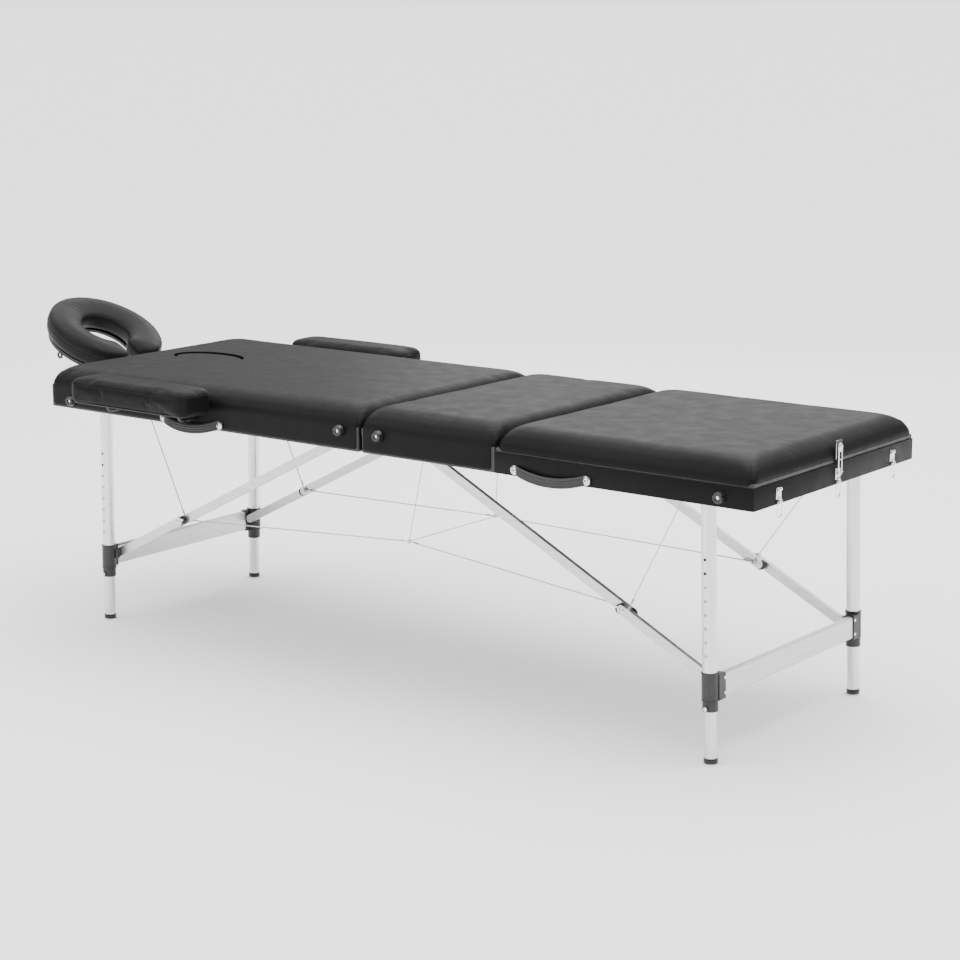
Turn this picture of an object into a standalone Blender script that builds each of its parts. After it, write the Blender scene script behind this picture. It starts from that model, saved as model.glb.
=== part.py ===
"""Portable folding massage table: three padded sections on two hinged aluminium-legged halves.

Metres, +Z up. X runs along the table (head end at -X), Y across it (carry-handle side at -Y).
The origin is on the floor, under the middle of the whole set-up table with its headrest.
Pieces are laid out from the fold line, which the root empty places at FOLD_X.
"""
import math

import bmesh
import bpy
from mathutils import Matrix, Vector

# --- driving dimensions -------------------------------------------------------------------------
FOLD_X = 0.140               # fold line, from the middle of the overall length
HALF_LENGTH = 0.925          # fold line to either end of the padding
HALF_WIDTH = 0.300           # padding, either side of the centre line
UNDERSIDE_Z = 0.495          # bottom of the two frames
FRAME_HEIGHT = 0.042         # bottom of the frame to the deck
TOP_Z = 0.585                # top of the padding
DECK = 0.008                 # plywood under the padding
GAP = 0.0004                 # between touching pieces
SECTION_GAP = 0.0015         # half of the gap between two padded sections
BACKREST_X = 0.345           # seam between the middle section and the lifting one
BACKREST_HINGE_Z = 0.560

SIDE_RAIL = 0.0095           # thickness of the side rails
END_RAIL = 0.0145            # thickness of the end rails
FRAME_INSET = 0.0015         # frame face behind the padding's face
FOLD_Z = UNDERSIDE_Z - 0.0015
FOLD_CLEARANCE = 0.0048      # frame end to the fold axis

LEG_X = 0.811                # leg hinge from the fold line
LEG_HINGE_Z = 0.513
LEG_SPLAY = math.radians(1.6)
LEG_Y = {"head": 0.2395, "foot": 0.2700}   # the head pair is narrower, so the pairs pass each other
OUTER_R = 0.014
OUTER_BORE = 0.0128
OUTER_TOP = -0.014           # distances along a leg are measured down from its hinge
OUTER_END = 0.400
INNER_R = 0.0125
INNER_TOP = 0.160
CAP_R = 0.0132
CAP_HEIGHT = 0.010
COLLAR_R = 0.016
COLLAR_TOP = 0.338
COLLAR_STEP = 0.393
COLLAR_END = 0.412
COLLAR_LOW_R = 0.015
BUTTON_AT = 0.4058
BUTTON_R = 0.004
BAR_AT = 0.3675              # crossbar centre, along the leg
BAR_HEIGHT = 0.045
BAR_THICK = 0.014
BAR_OUT = 0.008              # crossbar centre, outboard of the leg's centre line

STRUT_AT = 0.360             # strut pivot, along the leg
STRUT_IN = 0.011             # strut pivot, inboard of the leg's centre line
STRUT_ANCHOR_X = 0.070
STRUT_HEIGHT = 0.019
STRUT_THICK = 0.010
STRUT_TO_LEG = 0.018         # leg centre line to the lower strut's outer face
STRUT_SPACE = 0.001
STRUT_DROP = math.radians(0.5)   # folded, the lower bar points this far down from flat
STRUT_TAIL = {"lower": 0.0155, "upper": 0.024}   # how far each bar runs past the knee

FACE_X = -0.720
FACE_A = 0.096               # half length of the face-hole plug
FACE_B = 0.056               # half width of the face-hole plug
EDGE_ROUND = 0.030           # rounding along the padding's top edges
FOAM_Z = UNDERSIDE_Z + FRAME_HEIGHT + DECK + GAP

RING_R = 0.0032
RING_Y = 0.148
RING_Z = 0.281
CABLE_R = 0.001

SIDES = {"head": -1, "foot": 1}
FLANKS = {"near": -1, "far": 1}

MODEL = "portable_massage_table"


# --- scene and materials ------------------------------------------------------------------------
def start_scene():
    for old in list(bpy.data.objects):
        bpy.data.objects.remove(old, do_unlink=True)
    for name in (MODEL, "cutters"):
        bpy.context.scene.collection.children.link(bpy.data.collections.new(name))


def material(name, color, roughness, metallic=0.0):
    found = bpy.data.materials.get(name)
    if found:
        return found
    made = bpy.data.materials.new(name)
    made.use_nodes = True
    shader = made.node_tree.nodes["Principled BSDF"]
    shader.inputs["Base Color"].default_value = (*color, 1.0)
    shader.inputs["Roughness"].default_value = roughness
    shader.inputs["Metallic"].default_value = metallic
    return made


def vinyl():
    return material("black_vinyl", (0.035, 0.035, 0.037), 0.5)


def plastic():
    return material("black_plastic", (0.015, 0.015, 0.016), 0.4)


def aluminium():
    return material("aluminium", (0.85, 0.86, 0.87), 0.3, 1.0)


def chrome():
    return material("chrome", (0.75, 0.75, 0.76), 0.15, 1.0)


def steel():
    return material("steel_wire", (0.6, 0.6, 0.6), 0.35, 1.0)


def wood():
    return material("plywood", (0.03, 0.03, 0.032), 0.6)


# --- modelling helpers --------------------------------------------------------------------------
def add_mesh(name, mesh, look, as_tool=False):
    """Make an object from a mesh; a tool only cuts or joins and is left out of the model."""
    made = bpy.data.objects.new(name, mesh)
    mesh.materials.clear()
    mesh.materials.append(look)
    bpy.data.collections["cutters" if as_tool else MODEL].objects.link(made)
    if as_tool:
        made.hide_render = True
        made.display_type = "WIRE"
    return made


def from_bmesh(name, shape, look, as_tool=False, smooth=False):
    mesh = bpy.data.meshes.new(name)
    bmesh.ops.recalc_face_normals(shape, faces=shape.faces)
    shape.to_mesh(mesh)
    shape.free()
    if smooth:
        mesh.shade_smooth()
        mesh.set_sharp_from_angle(angle=math.radians(40))
    return add_mesh(name, mesh, look, as_tool)


def box(name, low, high, look, round_edges=0.0, segments=2, as_tool=False):
    low, high = Vector(low), Vector(high)
    shape = bmesh.new()
    bmesh.ops.create_cube(shape, size=1.0)
    size = high - low
    bmesh.ops.scale(shape, vec=size, verts=shape.verts)
    bmesh.ops.translate(shape, vec=(low + high) / 2, verts=shape.verts)
    if round_edges:
        bmesh.ops.bevel(shape, geom=shape.edges[:], offset=round_edges, segments=segments,
                        profile=0.5, affect="EDGES", clamp_overlap=True)
    return from_bmesh(name, shape, look, as_tool)


def rod(name, start, end, radius, look, sides=16, as_tool=False):
    start, end = Vector(start), Vector(end)
    run = end - start
    shape = bmesh.new()
    bmesh.ops.create_cone(shape, cap_ends=True, segments=sides, radius1=radius, radius2=radius,
                          depth=run.length)
    turn = run.to_track_quat("Z", "Y").to_matrix().to_4x4()
    bmesh.ops.transform(shape, matrix=Matrix.Translation((start + end) / 2) @ turn,
                        verts=shape.verts)
    return from_bmesh(name, shape, look, as_tool, smooth=True)


def evaluated_mesh(source):
    """The mesh of an object as its modifiers or its curve bevel make it, with caps welded."""
    bpy.context.view_layer.update()
    graph = bpy.context.evaluated_depsgraph_get()
    mesh = bpy.data.meshes.new_from_object(source.evaluated_get(graph))
    shape = bmesh.new()
    shape.from_mesh(mesh)
    bmesh.ops.remove_doubles(shape, verts=shape.verts, dist=0.00001)
    bmesh.ops.recalc_face_normals(shape, faces=shape.faces)
    shape.to_mesh(mesh)
    shape.free()
    mesh.transform(source.matrix_world)
    return mesh


def replace_by_mesh(name, source, look, as_tool=False):
    mesh = evaluated_mesh(source)
    bpy.data.objects.remove(source, do_unlink=True)
    mesh.shade_smooth()
    mesh.set_sharp_from_angle(angle=math.radians(40))
    return add_mesh(name, mesh, look, as_tool)


def turned(name, profile, look, steps=16, closed=False, place=Matrix.Identity(4), as_tool=False):
    """Turn a profile of (radius, height) points about Z, then place it."""
    mesh = bpy.data.meshes.new(name)
    links = [(i, i + 1) for i in range(len(profile) - 1)]
    if closed:
        links.append((len(profile) - 1, 0))
    mesh.from_pydata([(radius, 0.0, height) for radius, height in profile], links, [])
    half = bpy.data.objects.new(name + "_profile", mesh)
    bpy.data.collections["cutters"].objects.link(half)
    screw = half.modifiers.new("turn", "SCREW")
    screw.steps = steps
    screw.render_steps = steps
    screw.use_merge_vertices = True
    screw.merge_threshold = 0.00001
    half.matrix_world = place
    return replace_by_mesh(name, half, look, as_tool)


def wire(name, points, radius, look, closed=False, resolution=2, as_tool=False):
    line = bpy.data.curves.new(name, "CURVE")
    line.dimensions = "3D"
    line.bevel_depth = radius
    line.bevel_resolution = resolution
    line.use_fill_caps = not closed
    spline = line.splines.new("POLY")
    spline.points.add(len(points) - 1)
    for spot, place in zip(spline.points, points):
        spot.co = (*place, 1.0)
    spline.use_cyclic_u = closed
    carrier = bpy.data.objects.new(name + "_line", line)
    bpy.data.collections["cutters"].objects.link(carrier)
    return replace_by_mesh(name, carrier, look, as_tool)


def plate(name, loops, thickness, place, look, as_tool=False):
    """A flat outline (one loop, or an outer loop and holes) as thick as stated, then placed."""
    line = bpy.data.curves.new(name, "CURVE")
    line.dimensions = "2D"
    line.fill_mode = "BOTH"
    line.extrude = thickness / 2
    for loop in loops:
        spline = line.splines.new("POLY")
        spline.points.add(len(loop) - 1)
        for spot, (u, v) in zip(spline.points, loop):
            spot.co = (u, v, 0.0, 1.0)
        spline.use_cyclic_u = True
    carrier = bpy.data.objects.new(name + "_outline", line)
    bpy.data.collections["cutters"].objects.link(carrier)
    carrier.matrix_world = place
    return replace_by_mesh(name, carrier, look, as_tool)


def boolean(target, tool, operation):
    change = target.modifiers.new(tool.name, "BOOLEAN")
    change.operation = operation
    change.object = tool
    change.solver = "EXACT"


def cut(target, *tools):
    for tool in tools:
        boolean(target, tool, "DIFFERENCE")


def join(target, *tools):
    for tool in tools:
        boolean(target, tool, "UNION")


def pivot(piece, point):
    """Put the object's origin on its joint's axis without moving the piece."""
    point = Vector(point)
    piece.data.transform(Matrix.Translation(-point))
    piece.location = point
    return piece


def arc(centre, radius_u, radius_v, start, end, count):
    """Points of an elliptic arc, both ends included; angles in degrees."""
    steps = [math.radians(start + (end - start) * i / (count - 1)) for i in range(count)]
    return [(centre[0] + radius_u * math.cos(a), centre[1] + radius_v * math.sin(a)) for a in steps]


def oval(centre, half_u, half_v, count):
    return arc(centre, half_u, half_v, 0, 360 * (count - 1) / count, count)


UPRIGHT = Matrix.Rotation(math.radians(90), 4, "X")    # an outline's (u, v) become (x, z)


# --- the two frames -----------------------------------------------------------------------------
def side_range(side, inner, outer):
    """Low and high x of a stretch that starts `inner` and ends `outer` from the fold line."""
    return (inner, outer) if SIDES[side] > 0 else (-outer, -inner)


def frame_ring(side, top):
    width = HALF_WIDTH - FRAME_INSET
    low, high = side_range(side, FOLD_CLEARANCE, HALF_LENGTH - FRAME_INSET)
    frame = box(side + "_frame", (low, -width, UNDERSIDE_Z), (high, width, top), wood(), 0.0015, 1)
    low, high = side_range(side, FOLD_CLEARANCE + END_RAIL, HALF_LENGTH - FRAME_INSET - END_RAIL)
    inside = width - SIDE_RAIL
    hollow = box(side + "_hollow", (low, -inside, UNDERSIDE_Z - 0.01),
                 (high, inside, UNDERSIDE_Z + FRAME_HEIGHT), wood(), as_tool=True)
    cut(frame, hollow)
    return frame


def leg_bosses(frame, side):
    """Round pads on the side rails that each leg hinges on."""
    inside = HALF_WIDTH - FRAME_INSET - SIDE_RAIL
    for flank, sign in FLANKS.items():
        x = SIDES[side] * LEG_X
        start = sign * (LEG_Y[side] + OUTER_R + GAP)
        boss = rod(side + flank + "_boss", (x, start, LEG_HINGE_Z),
                   (x, sign * (inside + 0.002), LEG_HINGE_Z), 0.008, wood(), as_tool=True)
        join(frame, boss)


def strut_lugs(frame, side):
    """Small plates under the deck that hold the upper ends of the struts."""
    inner_face = LEG_Y[side] - STRUT_TO_LEG - 2 * STRUT_THICK - STRUT_SPACE
    x = SIDES[side] * STRUT_ANCHOR_X
    for flank, sign in FLANKS.items():
        ys = sorted((sign * (inner_face - 0.005), sign * (inner_face - 0.001)))
        lug = box(side + flank + "_lug", (x - 0.012, ys[0], LEG_HINGE_Z + 0.003),
                  (x + 0.012, ys[1], UNDERSIDE_Z + FRAME_HEIGHT + 0.001), wood(), as_tool=True)
        join(frame, lug)


def head_frame():
    frame = frame_ring("head", UNDERSIDE_Z + FRAME_HEIGHT + DECK)
    leg_bosses(frame, "head")
    strut_lugs(frame, "head")
    ledge = 0.012
    hole = plate("face_hole_deck", [oval((FACE_X, 0), FACE_A - ledge, FACE_B - ledge, 28)], 0.03,
                 Matrix.Translation((0, 0, UNDERSIDE_Z + FRAME_HEIGHT + DECK / 2)), wood(), True)
    cut(frame, hole)
    end = -HALF_LENGTH
    for flank, sign in FLANKS.items():
        socket = rod("socket_" + flank, (end - 0.01, sign * HEADREST_ROD_Y, HEADREST_ROD_Z),
                     (end + 0.03, sign * HEADREST_ROD_Y, HEADREST_ROD_Z),
                     HEADREST_ROD_R + GAP, wood(), as_tool=True)
        cut(frame, socket)
        for way in (-1, 1):
            x = ARM_X + way * ARM_PEG_X
            peg = rod(f"peg_hole_{flank}{way}", (x, sign * (HALF_WIDTH - 0.02), ARM_PEG_Z),
                      (x, sign * (HALF_WIDTH + 0.01), ARM_PEG_Z), ARM_PEG_R + GAP, wood(),
                      as_tool=True)
            cut(frame, peg)
        catch = box("catch_" + flank, (end - 0.0075, sign * LATCH_Y - 0.004, CATCH_Z - 0.003),
                    (end + 0.004, sign * LATCH_Y + 0.004, CATCH_Z + 0.003), chrome(), as_tool=True)
        join(frame, catch)
    return frame


def foot_frame():
    deck_z = UNDERSIDE_Z + FRAME_HEIGHT
    frame = frame_ring("foot", deck_z - 0.004)
    width = HALF_WIDTH - FRAME_INSET
    deck = box("middle_deck", (FOLD_CLEARANCE, -width, deck_z - 0.0005),
               (BACKREST_X - SECTION_GAP - 0.0005, width, deck_z + DECK), wood(), as_tool=True)
    riser = box("middle_riser", (FOLD_CLEARANCE, -width, deck_z - 0.006),
                (BACKREST_X - SECTION_GAP - 0.0005, width, deck_z + 0.002), wood(), as_tool=True)
    inside = width - SIDE_RAIL
    clear = box("riser_hollow", (FOLD_CLEARANCE + END_RAIL, -inside, deck_z - 0.02),
                (BACKREST_X + 0.01, inside, deck_z), wood(), as_tool=True)
    cut(riser, clear)
    join(frame, riser, deck)
    leg_bosses(frame, "foot")
    strut_lugs(frame, "foot")
    for flank, sign in FLANKS.items():
        y = sign * PROP_RACK_Y
        rack = box("rack_" + flank, (PROP_RACK_X, y - 0.004, UNDERSIDE_Z + 0.0035),
                   (HALF_LENGTH - 0.010, y + 0.004, UNDERSIDE_Z + 0.0155), wood(), as_tool=True)
        join(frame, rack)
    return frame


# --- padding ------------------------------------------------------------------------------------
def cushion(name, low_x, high_x):
    """A padded section, its top edges well rounded and its bottom edges sharp."""
    shape = bmesh.new()
    bmesh.ops.create_cube(shape, size=1.0)
    bmesh.ops.scale(shape, vec=(high_x - low_x, 2 * HALF_WIDTH, TOP_Z - FOAM_Z), verts=shape.verts)
    bmesh.ops.translate(shape, vec=((low_x + high_x) / 2, 0, (TOP_Z + FOAM_Z) / 2),
                        verts=shape.verts)
    top = [e for e in shape.edges if all(v.co.z > TOP_Z - 0.001 for v in e.verts)]
    bmesh.ops.bevel(shape, geom=top, offset=EDGE_ROUND, segments=4, profile=0.5, affect="EDGES")
    return from_bmesh(name, shape, vinyl(), smooth=True)


def face_hole(pad):
    hole = plate("face_hole_pad", [oval((FACE_X, 0), FACE_A + 0.0008, FACE_B + 0.0008, 28)], 0.12,
                 Matrix.Translation((0, 0, TOP_Z)), vinyl(), True)
    cut(pad, hole)


def face_plug():
    height = TOP_Z - 0.001 - FOAM_Z
    plug = plate("face_plug", [oval((FACE_X, 0), FACE_A, FACE_B, 28)], height,
                 Matrix.Translation((0, 0, FOAM_Z + height / 2)), vinyl())
    return pivot(plug, (FACE_X, 0, FOAM_Z))


# --- fold hinge ---------------------------------------------------------------------------------
KNUCKLE_R = 0.0032
HINGE_PIN_R = 0.0014
HINGE_Y = 0.285
KNUCKLES = 5
LEAF = 0.0012


def fold_leaf(side):
    """One leaf of the hinge along the fold; the foot leaf carries the pin."""
    sign = SIDES[side]
    xs = sorted((sign * 0.0022, sign * 0.026))
    leaf_top = UNDERSIDE_Z - 0.0003
    leaf = box("fold_leaf_" + side, (xs[0], -HINGE_Y, leaf_top - LEAF), (xs[1], HINGE_Y, leaf_top),
               chrome())
    length = 2 * HINGE_Y / KNUCKLES
    own = 0 if side == "head" else 1
    for index in range(KNUCKLES):
        y = -HINGE_Y + index * length
        if index % 2 == own:
            knuckle = rod(f"knuckle_{side}{index}", (0, y + GAP, FOLD_Z),
                          (0, y + length - GAP, FOLD_Z), KNUCKLE_R, chrome(), 12, True)
            join(leaf, knuckle)
        else:
            # room for the other leaf's knuckle
            room = box(f"room_{side}{index}", (-KNUCKLE_R - GAP, y - GAP, FOLD_Z - 0.006),
                       (KNUCKLE_R + GAP, y + length + GAP, FOLD_Z + 0.006), chrome(), as_tool=True)
            cut(leaf, room)
    radius = HINGE_PIN_R + (0.0003 if side == "head" else 0)
    spread = HINGE_Y + (0.01 if side == "head" else -0.001)
    pin = rod("fold_pin_" + side, (0, -spread, FOLD_Z), (0, spread, FOLD_Z), radius, chrome(), 12,
              True)
    if side == "head":
        cut(leaf, pin)
    else:
        join(leaf, pin)
    return leaf


# --- legs ---------------------------------------------------------------------------------------
def leg_place(side, y):
    """Leg space: origin on the leg hinge, -Z down the leg; the leg leans outward."""
    sign = SIDES[side]
    lean = Matrix.Rotation(-sign * LEG_SPLAY, 4, "Y")
    return Matrix.Translation((sign * LEG_X, y, LEG_HINGE_Z)) @ lean


def leg_point(side, along, inboard=0.0):
    """World (x, z) of a point on a leg, by its distance down the leg and inboard of it."""
    sign = SIDES[side]
    spot = leg_place(side, 0) @ Vector((-sign * inboard, 0, -along))
    return spot.x, spot.z


def leg_length():
    """Hinge to foot, so that the lowest edge of the tilted foot touches the floor."""
    return (LEG_HINGE_Z - CAP_R * math.sin(LEG_SPLAY)) / math.cos(LEG_SPLAY)


def outer_tube(side, flank):
    y = FLANKS[flank] * LEG_Y[side]
    profile = [(OUTER_R, -OUTER_TOP), (OUTER_R, -OUTER_END), (OUTER_BORE, -OUTER_END),
               (OUTER_BORE, -OUTER_TOP)]
    return turned(f"{side}_{flank}_leg_tube", profile, aluminium(), 20, True, leg_place(side, y))


def inner_leg(side, flank):
    y = FLANKS[flank] * LEG_Y[side]
    end = leg_length()
    profile = [(0, -INNER_TOP), (INNER_R, -INNER_TOP), (INNER_R, -end + CAP_HEIGHT),
               (CAP_R, -end + CAP_HEIGHT), (CAP_R, -end), (0, -end)]
    return turned(f"{side}_{flank}_inner_leg", profile, aluminium(), 20, False, leg_place(side, y))


def placed_box(name, side, y, low, high, look, round_edges=0.0):
    """A box in leg space whose x is measured outboard, as a tool."""
    sign = SIDES[side]
    xs = sorted((sign * low[0], sign * high[0]))
    made = box(name, (xs[0], low[1], low[2]), (xs[1], high[1], high[2]), look, round_edges, 1,
               as_tool=True)
    made.data.transform(leg_place(side, y))
    return made


def collar(side, flank):
    """Plastic clamp round the tube: crossbar socket inward, strut lug inboard, button outward."""
    sign, way = SIDES[side], FLANKS[flank]
    y = way * LEG_Y[side]
    name = f"{side}_{flank}_collar"
    profile = [(0, -COLLAR_TOP), (COLLAR_R - 0.001, -COLLAR_TOP), (COLLAR_R, -COLLAR_TOP - 0.001),
               (COLLAR_R, -COLLAR_STEP), (COLLAR_LOW_R, -COLLAR_STEP - 0.001),
               (COLLAR_LOW_R, -COLLAR_END), (0, -COLLAR_END)]
    made = turned(name, profile, plastic(), 20, False, leg_place(side, y))
    half = BAR_HEIGHT / 2
    inward = sorted((-way * 0.005, -way * 0.0284))
    socket = placed_box(name + "_socket", side, y,
                        (BAR_OUT - BAR_THICK / 2 - 0.002, inward[0], -BAR_AT - half - 0.0025),
                        (BAR_OUT + BAR_THICK / 2 + 0.0022, inward[1], -BAR_AT + half + 0.0025),
                        plastic(), 0.001)
    lug_in = sorted((-way * 0.004, -way * (STRUT_TO_LEG - 0.001)))
    lug = placed_box(name + "_lug", side, y, (-0.019, lug_in[0], -STRUT_AT - 0.010),
                     (-0.002, lug_in[1], -STRUT_AT + 0.010), plastic(), 0.001)
    boss = leg_rod(name + "_boss", side, y, way * 0.0135, way * 0.0168, 0.0058, plastic(), True)
    join(made, socket, lug, boss)
    room = 0.0004
    recess_y = sorted((-way * 0.0164, -way * 0.04))
    recess = placed_box(name + "_recess", side, y,
                        (BAR_OUT - BAR_THICK / 2 - room, recess_y[0], -BAR_AT - half - room),
                        (BAR_OUT + BAR_THICK / 2 + room, recess_y[1], -BAR_AT + half + room),
                        plastic())
    bore = rod(name + "_bore", (0, 0, -COLLAR_TOP + 0.02), (0, 0, -OUTER_END - GAP),
               OUTER_R + GAP, plastic(), 20, True)
    low_bore = rod(name + "_low_bore", (0, 0, -COLLAR_TOP), (0, 0, -COLLAR_END - 0.02),
                   INNER_R + GAP, plastic(), 20, True)
    for tool in (bore, low_bore):
        tool.data.transform(leg_place(side, y))
    hole = leg_rod(name + "_hole", side, y, way * 0.008, way * 0.03, BUTTON_R + GAP, plastic(), True)
    cut(made, recess, bore, low_bore, hole)
    return made


def leg_rod(name, side, y, inner, outer, radius, look, as_tool=False):
    """A rod across the leg at the button, between two distances from the leg's centre line."""
    made = rod(name, (0, inner, -BUTTON_AT), (0, outer, -BUTTON_AT), radius, look, 12, as_tool)
    made.data.transform(leg_place(side, y))
    return made


def leg_button(side, flank):
    way = FLANKS[flank]
    return leg_rod(f"{side}_{flank}_leg_button", side, way * LEG_Y[side], way * 0.0156,
                   way * 0.0184, BUTTON_R, chrome())


def crossbar(side):
    reach = LEG_Y[side] - 0.0168
    sign = SIDES[side]
    xs = sorted((sign * (BAR_OUT - BAR_THICK / 2), sign * (BAR_OUT + BAR_THICK / 2)))
    made = box(side + "_crossbar", (xs[0], -reach, -BAR_AT - BAR_HEIGHT / 2),
               (xs[1], reach, -BAR_AT + BAR_HEIGHT / 2), aluminium(), 0.0025, 1)
    made.data.transform(leg_place(side, 0))
    return made


# --- struts -------------------------------------------------------------------------------------
def strut_lengths(side):
    """Upper and lower lengths of a strut that is straight when open and closed when folded."""
    anchor = Vector((SIDES[side] * STRUT_ANCHOR_X, LEG_HINGE_Z + STRUT_IN))
    low = Vector(leg_point(side, STRUT_AT, STRUT_IN))
    straight = (anchor - low).length
    folded = LEG_X - STRUT_AT - STRUT_ANCHOR_X
    lower = (straight ** 2 - folded ** 2) / (2 * (straight + folded * math.cos(STRUT_DROP)))
    return anchor, low, straight - lower, lower


def knee_point(side):
    anchor, low, upper, lower = strut_lengths(side)
    return anchor + (low - anchor) * upper / (upper + lower)


def bar(name, start, end, y, before, after, look):
    """A flat bar with round ends from start to end in (x, z), running past both."""
    run = end - start
    angle = math.atan2(run.y, run.x)
    half = STRUT_HEIGHT / 2
    outline = arc((run.length + after - half, 0), half, half, -90, 90, 7)
    outline += arc((-before + half, 0), half, half, 90, 270, 7)
    turn = Matrix.Rotation(angle, 4, "Z")
    place = Matrix.Translation((start.x, y, start.y)) @ UPRIGHT @ turn
    return plate(name, [outline], STRUT_THICK, place, look)


def struts(side, flank):
    anchor, low, _, _ = strut_lengths(side)
    knee = knee_point(side)
    way = FLANKS[flank]
    outer = LEG_Y[side] - STRUT_TO_LEG - STRUT_THICK / 2
    inner = outer - STRUT_THICK - STRUT_SPACE
    end = STRUT_HEIGHT / 2
    lower = bar(f"{side}_{flank}_lower_strut", low, knee, way * outer, end,
                STRUT_TAIL["lower"], aluminium())
    upper = bar(f"{side}_{flank}_upper_strut", anchor, knee, way * inner, end,
                STRUT_TAIL["upper"], aluminium())
    pivot(lower, (low.x, way * outer, low.y))
    pivot(upper, (anchor.x, way * inner, anchor.y))
    return lower, upper


# --- cables -------------------------------------------------------------------------------------
def cable_route(side, flank):
    """Frame, then the strut's knee, then the ring under the fold."""
    sign, way = SIDES[side], FLANKS[flank]
    knee = knee_point(side)
    y = LEG_Y[side] - STRUT_TO_LEG - 2 * STRUT_THICK - STRUT_SPACE - 0.004
    if side == "head":
        top = (-(LEG_X - 0.070), way * y, UNDERSIDE_Z + FRAME_HEIGHT - 0.002)
    else:
        top = (LEG_X - 0.031, way * (HALF_WIDTH - FRAME_INSET - SIDE_RAIL - 0.0013), 0.520)
    return [top, (knee.x, way * y, knee.y), (sign * 0.0, way * RING_Y, RING_Z)]


def head_cable(flank):
    route = cable_route("head", flank)
    route[-1] = (-RING_R - 0.001, FLANKS[flank] * RING_Y, RING_Z)
    return wire(f"head_cable_{flank}", route, CABLE_R, steel())


def foot_cables():
    """The foot half's two cables, the rings, the cable across and the two risers, as one net."""
    net = wire("foot_cable_net", [(0, -RING_Y, RING_Z), (0, RING_Y, RING_Z)], CABLE_R, steel())
    for flank, way in FLANKS.items():
        run = wire("run_" + flank, cable_route("foot", flank), CABLE_R, steel(), as_tool=True)
        riser_top = (0.037, way * 0.120, UNDERSIDE_Z + FRAME_HEIGHT - 0.002)
        riser = wire("riser_" + flank, [(0, way * RING_Y, RING_Z), riser_top], CABLE_R, steel(),
                     as_tool=True)
        knot = turned("knot_" + flank, arc((0, 0), RING_R, RING_R, 90, -90, 7), steel(), 12,
                      place=Matrix.Translation((0, way * RING_Y, RING_Z)), as_tool=True)
        join(net, knot, run, riser)
    return net


# --- lifting back section -----------------------------------------------------------------------
PROP_PIVOT = 0.275           # prop pivot, from the backrest hinge
PROP_LENGTH = 0.270
PROP_R = 0.004
PROP_Z = UNDERSIDE_Z + FRAME_HEIGHT - 0.006
PROP_Y = 0.160
PROP_RACK_Y = 0.185
PROP_RACK_X = 0.600


def backrest_board():
    width = HALF_WIDTH - FRAME_INSET
    low_z = UNDERSIDE_Z + FRAME_HEIGHT + 0.0003
    board = box("backrest_board", (BACKREST_X + SECTION_GAP + 0.0005, -width, low_z),
                (HALF_LENGTH - FRAME_INSET, width, low_z + DECK - 0.0003), wood(), 0.001, 1)
    face = HALF_LENGTH + 0.0004
    stem = box("panel_plate_stem", (HALF_LENGTH - 0.006, -0.009, low_z + 0.001),
               (face + 0.003, 0.009, low_z + DECK - 0.002), chrome(), as_tool=True)
    keeper = box("panel_plate", (face, -0.009, low_z + 0.001), (face + 0.003, 0.009, 0.580),
                 chrome(), as_tool=True)
    join(board, stem, keeper)
    return pivot(board, (BACKREST_X, 0, BACKREST_HINGE_Z))


def backrest_prop():
    """Rod frame that folds flat under the backrest and props it up."""
    x = BACKREST_X + PROP_PIVOT
    end = x + PROP_LENGTH
    corner = 0.015
    path = []
    for cx, cy, start in ((end - corner, PROP_Y - corner, 0), (x + corner, PROP_Y - corner, 90),
                          (x + corner, -PROP_Y + corner, 180), (end - corner, -PROP_Y + corner, 270)):
        path += [(u, v, PROP_Z) for u, v in arc((cx, cy), corner, corner, start, start + 90, 4)]
    prop = wire("backrest_prop", path, PROP_R, steel(), closed=True)
    return pivot(prop, (x, 0, PROP_Z))


# --- latches on the foot end --------------------------------------------------------------------
LATCH_Y = 0.215
LATCH_FACE = HALF_LENGTH - FRAME_INSET + 0.0003
BAIL_X = LATCH_FACE + 0.0040
BAIL_Z = UNDERSIDE_Z + 0.006
BAIL_R = 0.0011
BAIL_HALF = 0.0068
BAIL_DROP = 0.0295
CATCH_Z = 2 * FOLD_Z - (BAIL_Z - BAIL_DROP + 0.010)
LATCHES = {"near": -LATCH_Y, "middle": 0.0, "far": LATCH_Y}


def latch_base(place):
    y = LATCHES[place]
    base = box("latch_base_" + place, (LATCH_FACE, y - 0.010, UNDERSIDE_Z + 0.011),
               (LATCH_FACE + 0.0020, y + 0.010, UNDERSIDE_Z + 0.032), chrome(), 0.0008, 1)
    barrel = box("latch_barrel_" + place, (LATCH_FACE, y - 0.0048, BAIL_Z - 0.0035),
                 (BAIL_X + 0.0035, y + 0.0048, UNDERSIDE_Z + 0.014), chrome(), as_tool=True)
    bore = rod("latch_bore_" + place, (BAIL_X, y - 0.02, BAIL_Z), (BAIL_X, y + 0.02, BAIL_Z),
               BAIL_R + GAP, chrome(), 12, True)
    join(base, barrel)
    cut(base, bore)
    return base


def latch_bail(place):
    """Wire loop that hangs from the latch."""
    y = LATCHES[place]
    corner = 0.0015
    low = BAIL_Z - BAIL_DROP + BAIL_HALF
    path = [(BAIL_X, y + u, low + v) for u, v in arc((0, 0), BAIL_HALF, BAIL_HALF, 180, 360, 9)]
    path += [(BAIL_X, y + u, BAIL_Z - corner + v)
             for u, v in arc((BAIL_HALF - corner, 0), corner, corner, 0, 90, 3)]
    path += [(BAIL_X, y + u, BAIL_Z - corner + v)
             for u, v in arc((-BAIL_HALF + corner, 0), corner, corner, 90, 180, 3)]
    bail = wire("latch_bail_" + place, path, BAIL_R, chrome(), closed=True, resolution=1)
    return pivot(bail, (BAIL_X, y, BAIL_Z))


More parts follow.
